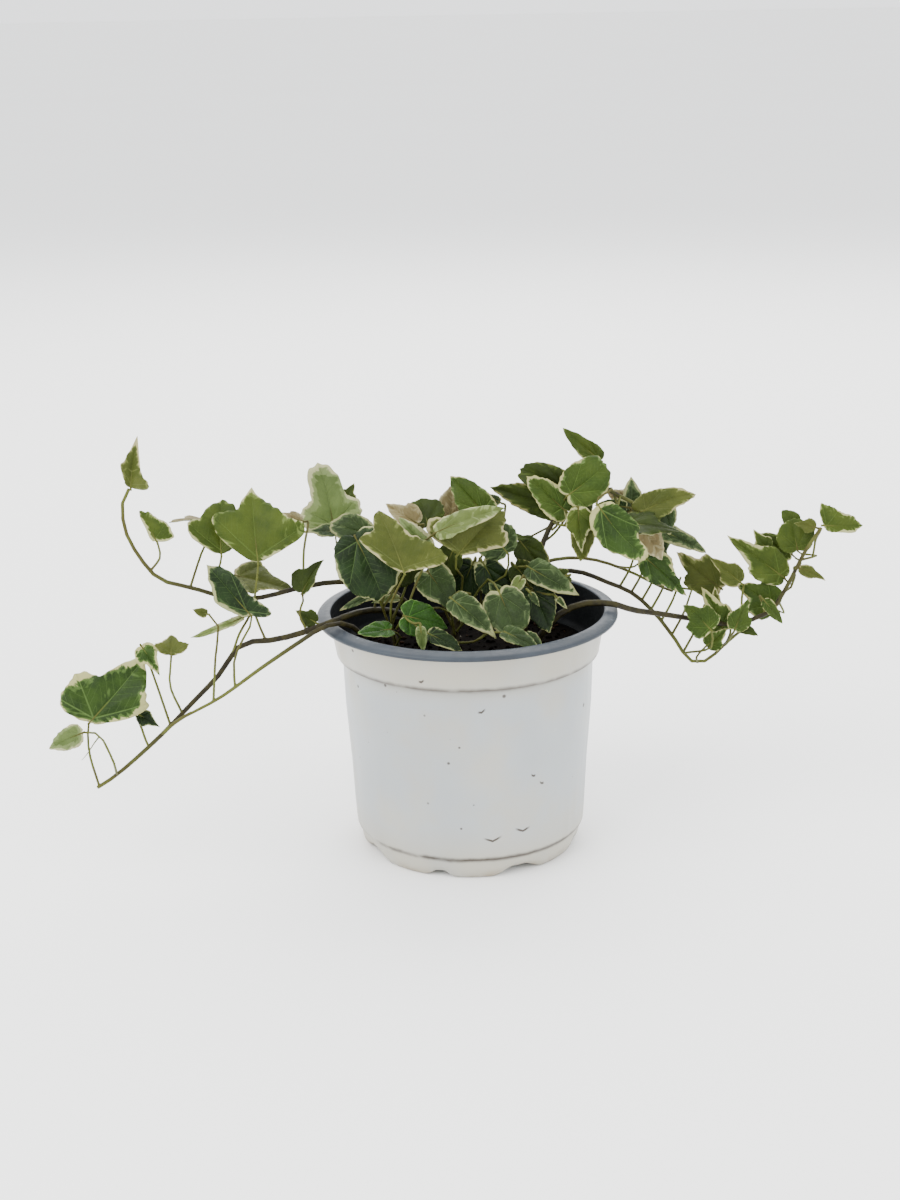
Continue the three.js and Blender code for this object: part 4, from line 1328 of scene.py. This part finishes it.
class Sprigs:
    """The small leaves that fill the crown and the ends of the vines."""

    fold: float = 12.0
    rows: dict[str, Sprig] = {
        "twisted": Sprig("lower_left_4", Shape.SPEAR, Coat.PALE, (31, 3, 11), (8, 0, 2), 0.16, 24,
            (0, -1, 0.6)),
        "tucked": Sprig("lower_left_6", Shape.THREE, Coat.DARK, (15, 1, -12), (24, -2, -16), 0.8, 10),
        "rim_left": Sprig("lower_left_1", Shape.THREE, Coat.SHADED, (-18, -21, -38), (-27, -18, -33), 0.8, 8,
            (0, -1, 0.5)),
        "band_left": Sprig("upper_left_1", Shape.THREE, Coat.GREY, (2, -19, -12), (-14, -16, -11), 0.6, 18,
            (0, -0.5, 1)),
        "fold_left": Sprig("upper_left_1", Shape.THREE, Coat.SHADED, (7, -1, -1), (11, 2, 7), 0.9, 20,
            (0, -1, 0.3)),
        "blush_left": Sprig("lower_left_3", Shape.THREE, Coat.BLUSH, (16, 34, -7), (4, 37, -4), 0.6, 24),
        "striped": Sprig("crown_left_2", Shape.HEART, Coat.HALO, (9, 11, -6), (-2, 14, 8), 0.6, 30),
        "blush_back": Sprig("crown_left_2", Shape.THREE, Coat.BLUSH, (5, 22, 3), (-9, 25, 11), 0.9, 34,
            (0, -1, 0.3)),
        "blush_top": Sprig("crown_middle_9", Shape.HEART, Coat.BLUSH, (12, 11, -5), (14, 14, 9), 1.2, 34,
            (0, -1, 0.3)),
        "grey_top": Sprig("crown_middle_10", Shape.SPEAR, Coat.GREY, (12, 13, -4), (3, 16, 0), 0.5, 34,
            (0, -1, 0.5)),
        "dark_band": Sprig("crown_middle_12", Shape.SPEAR, Coat.SHADED, (-2, 5, -1), (16, 8, -1), 0.3, 28,
            (0, -0.6, 1)),
        "bud": Sprig("crown_middle_4", Shape.HEART, Coat.PALE, (7, 14, 10), (2, 10, 4), 0.7, 20,
            (0, -1, 0.5)),
        "pale_rim": Sprig("crown_middle_4", Shape.HEART, Coat.GREY, (0, 10, 0), (-7, 13, 10), 0.8, 18,
            (0, -1, 0.6)),
        "under_left": Sprig("crown_left_3", Shape.HEART, Coat.PALE, (12, 11, -21), (1, 8, -21), 0.5, 12,
            (0, -0.6, 1)),
        "thin_left": Sprig("crown_left_3", Shape.SPEAR, Coat.GREY, (3, 5, -17), (-14, 2, -22), 0.3, 12,
            (0, -0.6, 1)),
        "pale_point": Sprig("crown_middle_1", Shape.HEART, Coat.HALO, (-1, -8, -4), (0, -11, -13), 0.55, 8),
        "low_dark": Sprig("crown_middle_1", Shape.SPEAR, Coat.DARK, (3, -4, -7), (18, -7, -13), 0.6, 8,
            (0, -0.6, 1)),
        "low_grey": Sprig("crown_middle_5", Shape.HEART, Coat.GREY, (4, 2, 0), (11, -1, -4), 0.8, 8,
            (0, -0.6, 1)),
        "shade_one": Sprig("top_right_1", Shape.HEART, Coat.SHADED, (6, 11, -3), (-12, 8, -8), 0.5, 14,
            (0, -1, 0.6)),
        "spear_one": Sprig("crown_middle_6", Shape.SPEAR, Coat.GREY, (10, -2, 4), (14, -5, 0), 0.5, 12,
            (0, -1, 0.5)),
        "spear_two": Sprig("crown_middle_6", Shape.SPEAR, Coat.GREY, (-3, -10, 9), (1, -13, 4), 0.5, 14,
            (0, -1, 0.5)),
        "spotted": Sprig("top_right_3", Shape.HEART, Coat.GREEN, (5, -13, -10), (-11, -10, 5), 0.7, 16,
            (0, -1, 0.3)),
        "shaded_back": Sprig("top_right_4", Shape.THREE, Coat.SHADED, (-4, 12, -16), (8, 15, -8), 0.9, 20,
            (0, -1, 0.3)),
        "lobe": Sprig("top_right_2", Shape.HEART, Coat.OLIVE, (2, 4, 0), (1, 2, -16), 0.75, 12, (0, -1, 0.3)),
        "blush_right": Sprig("top_right_7", Shape.THREE, Coat.BLUSH, (0, 4, -5), (-13, 7, 3), 0.8, 22),
        "dark_right": Sprig("top_right_7", Shape.SPEAR, Coat.DARK, (-4, -4, -4), (-18, -1, -2), 0.5, 20),
        "grey_right": Sprig("top_right_9", Shape.HEART, Coat.GREY, (2, 14, -3), (7, 11, -18), 0.7, 26,
            (0, -1, 0.3)),
        "mottled": Sprig("top_right_8", Shape.HEART, Coat.BLUSH, (-3, 22, -8), (8, 19, -23), 0.8, 24,
            (0, -1, 0.3), vine="right_short"),
        "trailing": Sprig("top_right_8", Shape.SPEAR, Coat.GREY, (9, 40, -15), (32, 37, -24), 0.4, 24,
            (0, -1, 0.5), vine="right_short"),
        "bright_low": Sprig("right_short_1", Shape.THREE, Coat.PANEL, (-29, -12, 13), (-8, -15, -5), 0.6, 16,
            (0, -1, 0.5)),
        "brown_back": Sprig("right_long_3", Shape.THREE, Coat.OLIVE, (-11, -5, -8), (-24, -2, 3), 0.7, 18),
        "cluster_one": Sprig("right_low_1", Shape.THREE, Coat.GREEN, (11, 11, -7), (3, 14, 13), 0.7, 14,
            (0, -1, 0.3)),
        "cluster_two": Sprig("right_low_1", Shape.THREE, Coat.GREEN, (17, 7, -6), (23, 10, 8), 0.8, 14,
            (0, -1, 0.3)),
        "cluster_three": Sprig("right_low_2", Shape.SPEAR, Coat.SHADED, (11, 2, 6), (21, -1, 3), 0.6, 14,
            (0, -1, 0.6)),
        "cluster_four": Sprig("right_long_2", Shape.SPEAR, Coat.GREEN, (0, -8, 1), (9, -11, -9), 0.45, 8,
            (0, -1, 0.3)),
        "top_bud": Sprig("right_long_3", Shape.THREE, Coat.BRIGHT, (4, 5, 5), (-2, 8, 14), 0.9, 18,
            (0, -1, 0.3)),
        "upper_bud": Sprig("right_long_4", Shape.HEART, Coat.BRIGHT, (0, 4, 6), (-5, 7, 12), 1.1, 16,
            (0, -1, 0.3)),
        "side_bud": Sprig("right_long_4", Shape.THREE, Coat.OLIVE, (8, -6, 6), (-1, -3, 8), 0.8, 14),
        "outer": Sprig("right_long_2", Shape.THREE, Coat.OLIVE, (18, -4, 16), (30, -7, 12), 0.5, 10,
            (0, -1, 0.5)),
        "deep_one": Sprig("crown_middle_2", Shape.SHIELD, Coat.DARK, (17, 21, 2), (8, 18, -16), 0.8, 20,
            (0, -1, 0.5)),
        "deep_two": Sprig("crown_middle_12", Shape.SHIELD, Coat.DARK, (-6, 1, -14), (4, -2, -31), 0.8, 18,
            (0, -1, 0.5)),
        "deep_three": Sprig("crown_middle_6", Shape.SHIELD, Coat.SHADED, (-8, 14, 14), (4, 11, 0), 0.8, 20,
            (0, -1, 0.5)),
        "deep_four": Sprig("crown_middle_2", Shape.SHIELD, Coat.SHADED, (8, 17, 10), (0, 14, -6), 0.8, 22,
            (0, -1, 0.5)),
        "deep_five": Sprig("crown_left_3", Shape.SHIELD, Coat.SHADED, (22, 14, -2), (12, 11, -14), 0.8, 22,
            (0, -1, 0.5)),
        "deep_six": Sprig("crown_middle_12", Shape.SHIELD, Coat.SHADED, (12, 9, -6), (24, 6, -20), 0.8, 20,
            (0, -1, 0.5)),
    }

    def __init__(self, foliage: Foliage) -> None:
        """Work with the finishes and the disc of the larger leaves."""
        self.foliage = foliage

    @staticmethod
    def root(vine: str, place: np.ndarray) -> np.ndarray:
        """The middle of a vine's stem near a place.

        Args:
            vine: The vine's node.
            place: Where to look.

        Returns:
            A point inside the stem.
        """
        points, _ = Bench.welded(vine)
        near = points[np.argsort(np.linalg.norm(points - place, axis=1))[:6]]
        return near.mean(0)

    def build(self) -> None:
        """Make every small leaf, and put the disc away."""
        maker = self.foliage.maker
        for key, row in self.rows.items():
            low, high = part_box("leaf_" + row.near)
            middle = np.array((low + high) / 2)
            base = middle + np.array(row.base) * MM
            tip = middle + np.array(row.tip) * MM
            seat = Seat.at(base, tip, row.face, row.width, self.fold)
            piece = maker.blade("ivy_sprig_" + key, seat, LeafPlan(row.shape, row.coat))
            vine = "vine_" + (row.vine or row.near.rsplit("_", 1)[0])
            root = self.root(vine, base - np.array([0.0, 0.0, row.drop * MM]))
            maker.finish(piece, seat, self.foliage.pairs[row.coat], self.foliage.stalk, root)
            Bench.hand_over(piece, row.coat.slot)
        bpy.data.objects.remove(maker.disc)


@dataclass
class Rungs:
    """Thin stalks on the low right-hand vine, the lower branch's join to its vine, and a root hair."""

    finish: bpy.types.Material
    count: int = 7
    girth: float = 0.55 * MM
    first: tuple = (74.0, 42.0, 112.0)
    last: tuple = (106.0, 32.0, 84.0)
    climb: tuple = (9.0, 8.0, 17.0)

    def build(self) -> bpy.types.Object:
        """Model the stalks as one piece.

        Returns:
            The finished stalks.
        """
        made = []
        for k in range(self.count):
            share = k / (self.count - 1)
            foot = (1 - share) * np.array(self.first) + share * np.array(self.last)
            start = Sprigs.root("vine_right_low", foot * MM)
            end = start + np.array(self.climb) * MM * (1.0 + 0.25 * share)
            bow = 0.5 * (start + end) + np.array([0.8, 0.0, -0.6]) * MM
            line = Tube.curve([start, bow, end], 6)
            made.append(Tube.make(f"rung_{k}", line, np.linspace(1.2, 0.9, len(line)) * self.girth, 8))
        made.append(self._graft())
        made.append(self._root_hair())
        piece = Bench.join(*made)
        piece.name = "ivy_leaf_stalks"
        Bench.store_girth(piece, [0.15] * len(piece.data.vertices))
        Bench.smooth(piece)
        Bench.dress(piece, self.finish)
        Bench.hand_over(piece, "stem_bark")
        return piece

    def _graft(self) -> bpy.types.Object:
        """Run the lower branch into the vine that it grew from."""
        low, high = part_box("vine_lower_left_branch")
        tip = Sprigs.root("vine_lower_left_branch", np.array([low.x, (low.y + high.y) / 2, 80 * MM]))
        joint = Sprigs.root("vine_lower_left", tip + np.array([-9.0, 0.0, -9.0]) * MM)
        before = tip + np.array([4.0, 0.0, 2.2]) * MM
        line = Tube.curve([before, tip, 0.5 * (tip + joint) + np.array([0.0, 0.0, 0.5]) * MM, joint], 5)
        return Tube.make("graft", line, np.linspace(0.72, 0.9, len(line)) * MM, 8)

    def _root_hair(self) -> bpy.types.Object:
        """Hang a fine dry root from the lowest vine's end."""
        low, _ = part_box("vine_lower_left")
        start = Sprigs.root("vine_lower_left", np.array([low.x + 12 * MM, low.y, low.z + 40 * MM]))
        steps = ((0, 0, 0), (-2.5, -0.5, -3), (-6, -1, -8), (-9, 0, -11.5))
        ends = [start + np.array(step) * MM for step in steps]
        line = Tube.curve(ends, 5)
        return Tube.make("root_hair", line, np.linspace(0.4, 0.12, len(line)) * MM, 6)


# ---- Vines ----


@dataclass
class Vines:
    """The stems and leaf stalks, grown together and rounded."""

    finish: bpy.types.Material
    voxel: float = 0.3 * MM
    swell: float = 0.12 * MM
    smooth: int = 6

    def build(self) -> None:
        """Make every vine that the frame has."""
        for node in sorted(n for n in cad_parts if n.startswith("vine_")):
            piece = self._vine(node)
            Bench.dress(piece, self.finish)
            Bench.hand_over(piece, "stem_bark", node)

    def _vine(self, node: str) -> bpy.types.Object:
        """Round one vine.

        Args:
            node: Its frame node.

        Returns:
            The vine.
        """
        points, triangles = Bench.welded(node)
        piece = Bench.new("ivy_" + node, points, triangles)
        Bench.modify(piece, "REMESH", mode="VOXEL", voxel_size=self.voxel)
        Bench.modify(piece, "SMOOTH", factor=0.5, iterations=self.smooth)
        Bench.modify(piece, "DISPLACE", strength=self.swell, mid_level=0.0)
        Bench.modify(piece, "DECIMATE", ratio=0.5)
        Bench.smooth(piece)
        self._measure(piece)
        return piece

    def _measure(self, piece: bpy.types.Object) -> None:
        """Find how thick the piece is at each vertex and store it."""
        mesh = piece.data
        tree = BVHTree.FromPolygons([v.co for v in mesh.vertices], [tuple(p.vertices) for p in mesh.polygons])
        thick = []
        for vertex in mesh.vertices:
            hit = tree.ray_cast(vertex.co - vertex.normal * 0.05 * MM, -vertex.normal)
            thick.append(hit[3] if hit[0] else 0.0)
        share = np.clip((np.array(thick) - 1.2 * MM) / (1.2 * MM), 0, 1)
        Bench.store_girth(piece, share.astype(np.float32))


# ---- Pot ----


@dataclass
class Pot:
    """The thin moulded pot: body, overhanging collar, rolled lip and lobed foot."""

    outside: bpy.types.Material
    lip: bpy.types.Material
    inside: bpy.types.Material
    steps: int = 144
    collar_drop: float = 20.3 * MM
    foot_top: float = 9.3 * MM
    lobes: tuple = (-64.0, 26.0, 116.0, 206.0)
    arches: tuple = ((0.0, 16.0, 3.4), (-43.0, 8.5, 2.6))
    flutes: tuple = (-128, -121, -112, -103, -38, -30, 60, 72, 150, 162)
    drain_ring: float = 33 * MM
    drain_radius: float = 5 * MM
    name: str = "nursery_pot"

    def build(self) -> bpy.types.Object:
        """Model the pot.

        Returns:
            The finished pot.
        """
        low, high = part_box("pot")
        top, rim = high.z, (high.x - low.x) / 2
        collar = top - self.collar_drop
        rows = self._rows(top, rim, collar)
        piece = Bench.disc(self.name, self.steps, *rows[0])
        Bench.edit(piece, "EDGE")
        bpy.ops.mesh.select_all(action="SELECT")
        bpy.ops.mesh.region_to_loop()
        for (r0, z0), (r1, z1) in zip(rows, rows[1:]):
            bpy.ops.mesh.extrude_edges_move(TRANSFORM_OT_translate={"value": (0, 0, z1 - z0)})
            bpy.ops.transform.resize(value=(r1 / r0, r1 / r0, 1), center_override=(0, 0, z1))
        bpy.ops.mesh.edge_face_add()
        Bench.close()
        Bench.tidy(piece)
        self._foot(piece)
        self._flutes(piece)
        self._drain(piece)
        self._paint(piece, top, collar)
        Bench.hold(piece)
        bpy.ops.object.shade_smooth_by_angle(angle=math.radians(40))
        Bench.hand_over(piece, "pot_plastic", "pot")
        return piece

    def _rows(self, top: float, rim: float, collar: float) -> list[tuple[float, float]]:
        """The wall's outline, from the floor's underside out, over the lip and back in to the floor.

        Args:
            top: The lip's height.
            rim: The lip's radius.
            collar: The height where the collar starts.

        Returns:
            Pairs of radius and height.
        """
        def mm(*pairs: tuple[float, float]) -> list[tuple[float, float]]:
            """Millimetres to metres."""
            return [(r * MM, z * MM) for r, z in pairs]

        head = top / MM
        edge = rim / MM
        step = collar / MM
        outer = mm((12, 3.5), (30, 3.5), (43.6, 3.5), (44.6, 3.1), (45.2, 2.0), (45.6, 0.7), (46.2, 0.12),
                   (46.8, 0.0), (50.0, 0.0), (50.6, 0.16), (51.0, 0.6), (51.7, 1.6), (52.3, 2.7), (52.8, 4.4),
                   (53.2, 6.6), (53.45, 8.6), (53.6, 9.4), (54.1, 10.0), (54.75, 10.5), (55.05, 11.2),
                   (55.35, 14), (56.0, 26), (56.75, 42), (57.9, 57), (58.9, 71), (59.3, 84),
                   (59.45, step - 2),
                   (59.6, step - 0.75), (60.0, step - 0.4), (61.6, step - 0.22), (62.2, step),
                   (62.45, step + 0.5),
                   (62.75, step + 2.4), (63.9, step + 9), (65.2, step + 14.6), (65.75, head - 4.3),
                   (66.3, head - 3.75), (67.6, head - 3.6), (70.3, head - 3.55), (70.9, head - 3.3),
                   (edge - 0.04, head - 2.9), (edge, head - 2.5), (edge - 0.1, head - 2.0),
                   (edge - 0.5, head - 1.5),
                   (69.2, head - 0.95), (67.6, head - 0.35), (66.4, head - 0.04), (65.6, head))
        inner = mm((65.05, head - 0.16), (64.75, head - 0.6), (64.55, head - 1.6), (63.9, head - 6),
                   (62.4, step + 7.8), (61.5, step + 2), (61.1, step + 0.9), (60.2, step + 0.3),
                   (58.6, step - 0.2), (58.35, step - 1), (58.2, 84), (57.7, 71), (55.6, 42), (53.9, 12.2),
                   (52.2, 9.6), (51.3, 3.2), (50.2, 1.4), (46.8, 1.2), (45.6, 4.6), (30, 4.7), (12, 4.7))
        return outer + inner

    def _foot(self, piece: bpy.types.Object) -> None:
        """Raise the foot's standing ring into arches between its lobes."""
        for vertex in piece.data.vertices:
            x, y, z = vertex.co
            radius = math.hypot(x, y)
            if radius < 44.9 * MM or z > self.foot_top:
                continue
            angle = math.degrees(math.atan2(y, x))
            lift = 0.0
            for lobe in self.lobes:
                for shift, half, height in self.arches:
                    off = abs((angle - lobe - shift + 180) % 360 - 180)
                    if off < half:
                        rise = 0.5 + 0.5 * math.cos(math.pi * off / half)
                        lift = max(lift, height * MM * min(1.0, 1.25 * rise))
            keep = max(0.0, 1 - max(z, 0) / self.foot_top)
            vertex.co.z = z + lift * keep
            pull = 1 - 0.012 * keep * lift / (3.2 * MM)
            vertex.co.x *= pull
            vertex.co.y *= pull

    def _flutes(self, piece: bpy.types.Object) -> None:
        """Press shallow flutes into the lower wall and let the thin wall wander a little."""
        for vertex in piece.data.vertices:
            x, y, z = vertex.co
            radius = math.hypot(x, y)
            if radius < 50 * MM or z < 9.5 * MM or z > 92 * MM:
                continue
            angle = math.degrees(math.atan2(y, x))
            level = max(0.0, 1 - abs(z - 16 * MM) / (24 * MM))
            press = 0.0
            for turn in self.flutes:
                off = abs((angle - turn + 180) % 360 - 180)
                press = max(press, math.exp(-((off / 2.1) ** 2)))
            wander = noise.noise(Vector((x * 28, y * 28, z * 22)))
            change = -0.38 * MM * press * level + 0.3 * MM * wander * min(1.0, (z - 9.5 * MM) / 0.02)
            vertex.co.x += x / radius * change
            vertex.co.y += y / radius * change

    def _drain(self, piece: bpy.types.Object) -> None:
        """Drill the drain holes through the floor."""
        for angle in self.lobes:
            turn = math.radians(angle)
            place = (self.drain_ring * math.cos(turn), self.drain_ring * math.sin(turn), 4.1 * MM)
            Bench.clear()
            bpy.ops.mesh.primitive_cylinder_add(vertices=32, radius=self.drain_radius, depth=6 * MM,
                                                location=place)
            drill = bpy.context.object
            Bench.modify(piece, "BOOLEAN", object=drill, operation="DIFFERENCE", solver="EXACT")
            bpy.data.objects.remove(drill)

    def _paint(self, piece: bpy.types.Object, top: float, collar: float) -> None:
        """Give the outside, the lip and the inside their own finishes.

        Args:
            piece: The pot.
            top: The lip's height.
            collar: The height where the collar starts.
        """
        Bench.dress(piece, self.outside, self.lip, self.inside)
        for face in piece.data.polygons:
            middle, normal = face.center, face.normal
            radius = math.hypot(middle.x, middle.y)
            out = (middle.x * normal.x + middle.y * normal.y) / max(radius, 1e-9)
            if middle.z > top - 4.0 * MM and (radius > 66.6 * MM or middle.z > top - 0.7 * MM):
                face.material_index = 1
            elif (out < -0.15 and middle.z > 4.6 * MM) or (normal.z > 0.5 and middle.z < collar + 2 * MM
                                                          and radius < 61.5 * MM):
                face.material_index = 2


# ---- Soil ----


@dataclass
class Soil:
    """Loose dark potting soil, with crumbs, bark bits and perlite on top."""

    ground: bpy.types.Material
    bark: bpy.types.Material
    perlite: bpy.types.Material
    loose: tuple = (("crumb", 420, 0.5, 1.9, 0.7), ("bark", 60, 1.0, 2.6, 0.35),
                    ("perlite", 22, 0.5, 1.1, 0.8))
    steps: int = 96
    rings: int = 26
    name: str = "potting_soil"

    def build(self) -> bpy.types.Object:
        """Model the root ball and its loose top.

        Returns:
            The finished soil.
        """
        low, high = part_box("soil")
        radius = (high.x - low.x) / 2
        level = high.z - 1.9 * MM
        piece = Bench.disc(self.name, self.steps, radius, level)
        Bench.edit(piece, "FACE")
        bpy.ops.mesh.select_all(action="SELECT")
        for _ in range(self.rings):
            bpy.ops.mesh.inset(thickness=radius / (self.rings + 2), depth=0.0)
        bpy.ops.mesh.poke()
        bpy.ops.mesh.select_all(action="SELECT")
        bpy.ops.mesh.region_to_loop()
        for depth, share in ((0.02, 0.995), (0.4, 0.965), (0.75, 0.935), (1.0, 0.9)):
            reach = (level - low.z) * depth
            bpy.ops.mesh.extrude_edges_move(TRANSFORM_OT_translate={"value": (0, 0, 0)})
            self._drop(piece, level - reach, radius * share)
        bpy.ops.mesh.edge_face_add()
        Bench.close()
        self._roughen(piece, level, radius, low.z)
        Bench.dress(piece, self.ground, self.bark, self.perlite)
        Bench.join(piece, *self._loose(level, radius))
        Bench.smooth(piece)
        Bench.tidy(piece, 1e-7)
        Bench.hand_over(piece, "potting_soil", "soil")
        return piece

    @staticmethod
    def _drop(piece: bpy.types.Object, level: float, radius: float) -> None:
        """Put the selected ring at a height and a radius."""
        mesh = bmesh.from_edit_mesh(piece.data)
        for vertex in mesh.verts:
            if vertex.select:
                share = radius / max(math.hypot(vertex.co.x, vertex.co.y), 1e-9)
                vertex.co = Vector((vertex.co.x * share, vertex.co.y * share, level))
        bmesh.update_edit_mesh(piece.data)

    @staticmethod
    def height(x: float, y: float, level: float, radius: float) -> float:
        """The height of the loose top.

        Args:
            x: Place across.
            y: Place in depth.
            level: The usual height.
            radius: The soil's radius.

        Returns:
            The height there.
        """
        away = math.hypot(x, y) / radius
        big = noise.noise(Vector((x * 60, y * 60, 3.1)))
        small = noise.noise(Vector((x * 210, y * 210, 7.7)))
        fine = noise.noise(Vector((x * 620, y * 620, 1.3)))
        lumps = 0.8 * big + 0.75 * small + 0.35 * fine
        return level + (0.9 * (1 - away**2) + lumps * min(1.0, 6 * (1.0 - away))) * MM

    def _roughen(self, piece: bpy.types.Object, level: float, radius: float, bottom: float) -> None:
        """Make the top uneven and lay the sides along the wall."""
        for vertex in piece.data.vertices:
            x, y, z = vertex.co
            if z > level - 1e-5:
                vertex.co.z = self.height(x, y, level, radius)
            elif z > bottom + 1e-5:
                vertex.co.z = z + 0.2 * MM * noise.noise(Vector((x * 200, y * 200, z * 200)))

    def _loose(self, level: float, radius: float) -> list[bpy.types.Object]:
        """Crumbs, bark bits and perlite, scattered on the top.

        Args:
            level: The soil's usual height.
            radius: Its radius.

        Returns:
            One object for each kind.
        """
        rng = random.Random(SEED)
        made = []
        Bench.clear()
        bpy.ops.mesh.primitive_ico_sphere_add(subdivisions=1, radius=1.0)
        seed = bpy.context.object
        shape = np.array([v.co for v in seed.data.vertices])
        faces = [tuple(p.vertices) for p in seed.data.polygons]
        bpy.data.objects.remove(seed)
        for slot, (label, count, low, high, flat) in enumerate(self.loose):
            points, sides = [], []
            for _ in range(count):
                turn, away = rng.uniform(0, 2 * math.pi), radius * 0.94 * math.sqrt(rng.random())
                x, y = away * math.cos(turn), away * math.sin(turn)
                size = rng.uniform(low, high) * MM * (0.6 + 0.4 * rng.random())
                angle = rng.uniform(0, 6.28)
                spin = Matrix.Rotation(angle, 3, Vector((rng.uniform(-1, 1), rng.uniform(-1, 1), 2)))
                stretch = np.array([1.0, rng.uniform(0.5, 0.9), flat])
                lump = 1 + 0.25 * np.array([rng.uniform(-1, 1) for _ in shape])
                body = (shape * lump[:, None] * stretch) @ np.array(spin).T * size
                z = self.height(x, y, level, radius) + 0.25 * size
                start = len(points)
                points.extend(body + [x, y, z])
                sides.extend([tuple(start + i for i in f) for f in faces])
            piece = Bench.new(label, points, sides)
            Bench.dress(piece, self.ground, self.bark, self.perlite)
            for face in piece.data.polygons:
                face.material_index = slot
            made.append(piece)
        return made


# ---- Stage ----


@dataclass
class Studio:
    """Pale floor, soft lights and the camera."""

    camera_height: float = 0.3855
    camera_back: float = 0.8599
    camera_across: float = -0.00808
    pitch: float = 17.166
    roll: float = -1.05
    lens: float = 57.07
    daylight: float = 2.1

    def build(self) -> None:
        """Set the stage."""
        self._camera()
        self._floor()
        self._light("softbox_left", (-1.1, -0.9, 1.5), 1.5, 44, (1.0, 0.99, 0.97))
        self._light("softbox_right", (1.3, -0.9, 1.0), 1.4, 14, (0.96, 0.98, 1.0))
        self._light("window_behind", (0.2, 1.3, 1.6), 1.8, 50, (1.0, 0.99, 0.97))
        world = bpy.data.worlds.new("soft_room")
        bpy.context.scene.world = world
        world.use_nodes = True
        sky = world.node_tree.nodes["Background"]
        sky.inputs["Color"].default_value = (0.97, 0.985, 1.0, 1)
        sky.inputs["Strength"].default_value = self.daylight

    def _camera(self) -> None:
        """Aim the camera."""
        data = bpy.data.cameras.new("camera")
        data.sensor_width = 36.0
        data.lens = self.lens
        data.clip_start, data.clip_end = 0.01, 1000.0
        camera = Bench.link("camera", data)
        tilt, roll = math.radians(self.pitch), math.radians(self.roll)
        forward = Vector((0, math.cos(tilt), -math.sin(tilt)))
        right = Vector((1, 0, 0))
        up = right.cross(forward)
        across = math.cos(roll) * right + math.sin(roll) * up
        above = -math.sin(roll) * right + math.cos(roll) * up
        turn = Matrix((across, above, -forward)).transposed().to_4x4()
        stand = Matrix.Translation((self.camera_across, -self.camera_back, self.camera_height))
        camera.matrix_world = stand @ turn
        bpy.context.scene.camera = camera

    @staticmethod
    def _floor() -> None:
        """Lay the floor."""
        Bench.clear()
        bpy.ops.mesh.primitive_plane_add(size=600.0, location=(0, 0, -0.0002))
        floor = bpy.context.object
        floor.name = "floor"
        material, n, out = new_material("pale_floor")
        cloud = n.grain(n.object_place(), 0.8, 2.0)
        base = n.blend(cloud, "F6F6F5", "F9F9F8")
        skin = n.put("BsdfPrincipled", {"Base Color": base, "Roughness": 0.9, "Specular IOR Level": 0.1})
        n.feed(out.inputs[0], skin.outputs[0])
        Bench.dress(floor, material)

    @staticmethod
    def _light(name: str, place: Sequence[float], size: float, power: float, tint: Sequence[float]) -> None:
        """Hang one soft light, aimed at the plant.

        Args:
            name: The light's name.
            place: Where it hangs.
            size: The side of its square.
            power: Watts.
            tint: Its colour.
        """
        data = bpy.data.lights.new(name, "AREA")
        data.shape, data.size, data.energy, data.color = "SQUARE", size, power, tint
        light = Bench.link(name, data)
        light.location = place
        light.rotation_euler = (Vector((0, 0, 0.1)) - Vector(place)).to_track_quat("-Z", "Y").to_euler()


def main() -> None:
    """Build the stage, the pot, the soil, the vines and the leaves."""
    logging.basicConfig(level=logging.INFO, format="%(name)s %(message)s")
    Studio().build()
    effects = Effects()
    _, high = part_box("pot")
    # 2E2216 colours the dirt marks and the painted shade in the collar step and the foot crease.
    outside = WallFinish("pot_white", "9EA3A5", "A6A192", "2E2216", "7C6848", high.z - Pot.collar_drop,
                         10.3 * MM)
    lip = SolidFinish("pot_lip_slate", "2D3238", "32383F", "4C535B", 50.0, 300.0, 0.04, 0.32, 0.44, 0.0001,
                      300.0, 0.22)
    inside = SolidFinish("pot_inside", "090A0B", "101213", "242628", 60.0, 300.0, 0.06, 0.5, 0.65, 0.0002,
                         300.0, 0.06)
    Pot(outside.build(effects), lip.build(effects), inside.build(effects)).build()
    ground = SolidFinish("soil_dark", "040302", "0A0705", "1C130C", 160.0, 700.0, 0.1, 0.85, 1.0, 0.0006,
                         900.0, 0.02)
    bark = SolidFinish("soil_bark", "140C07", "241810", "3A2A1C", 300.0, 900.0, 0.2, 0.8, 0.95, 0.0004,
                       900.0, 0.03)
    perlite = SolidFinish("soil_perlite", "5C574C", "77726A", "4A443A", 500.0, 1200.0, 0.2, 0.8, 0.95,
                          0.0003, 1500.0, 0.1)
    Soil(ground.build(effects), bark.build(effects), perlite.build(effects)).build()
    stalk = StalkFinish("stem_and_stalk", "2E2A12", "1A1608", "4E5222", "42401A").build()
    Vines(stalk).build()
    foliage = Foliage(effects, stalk)
    foliage.build()
    Sprigs(foliage).build()
    Rungs(stalk).build()


if __name__ == "__main__":
    main()
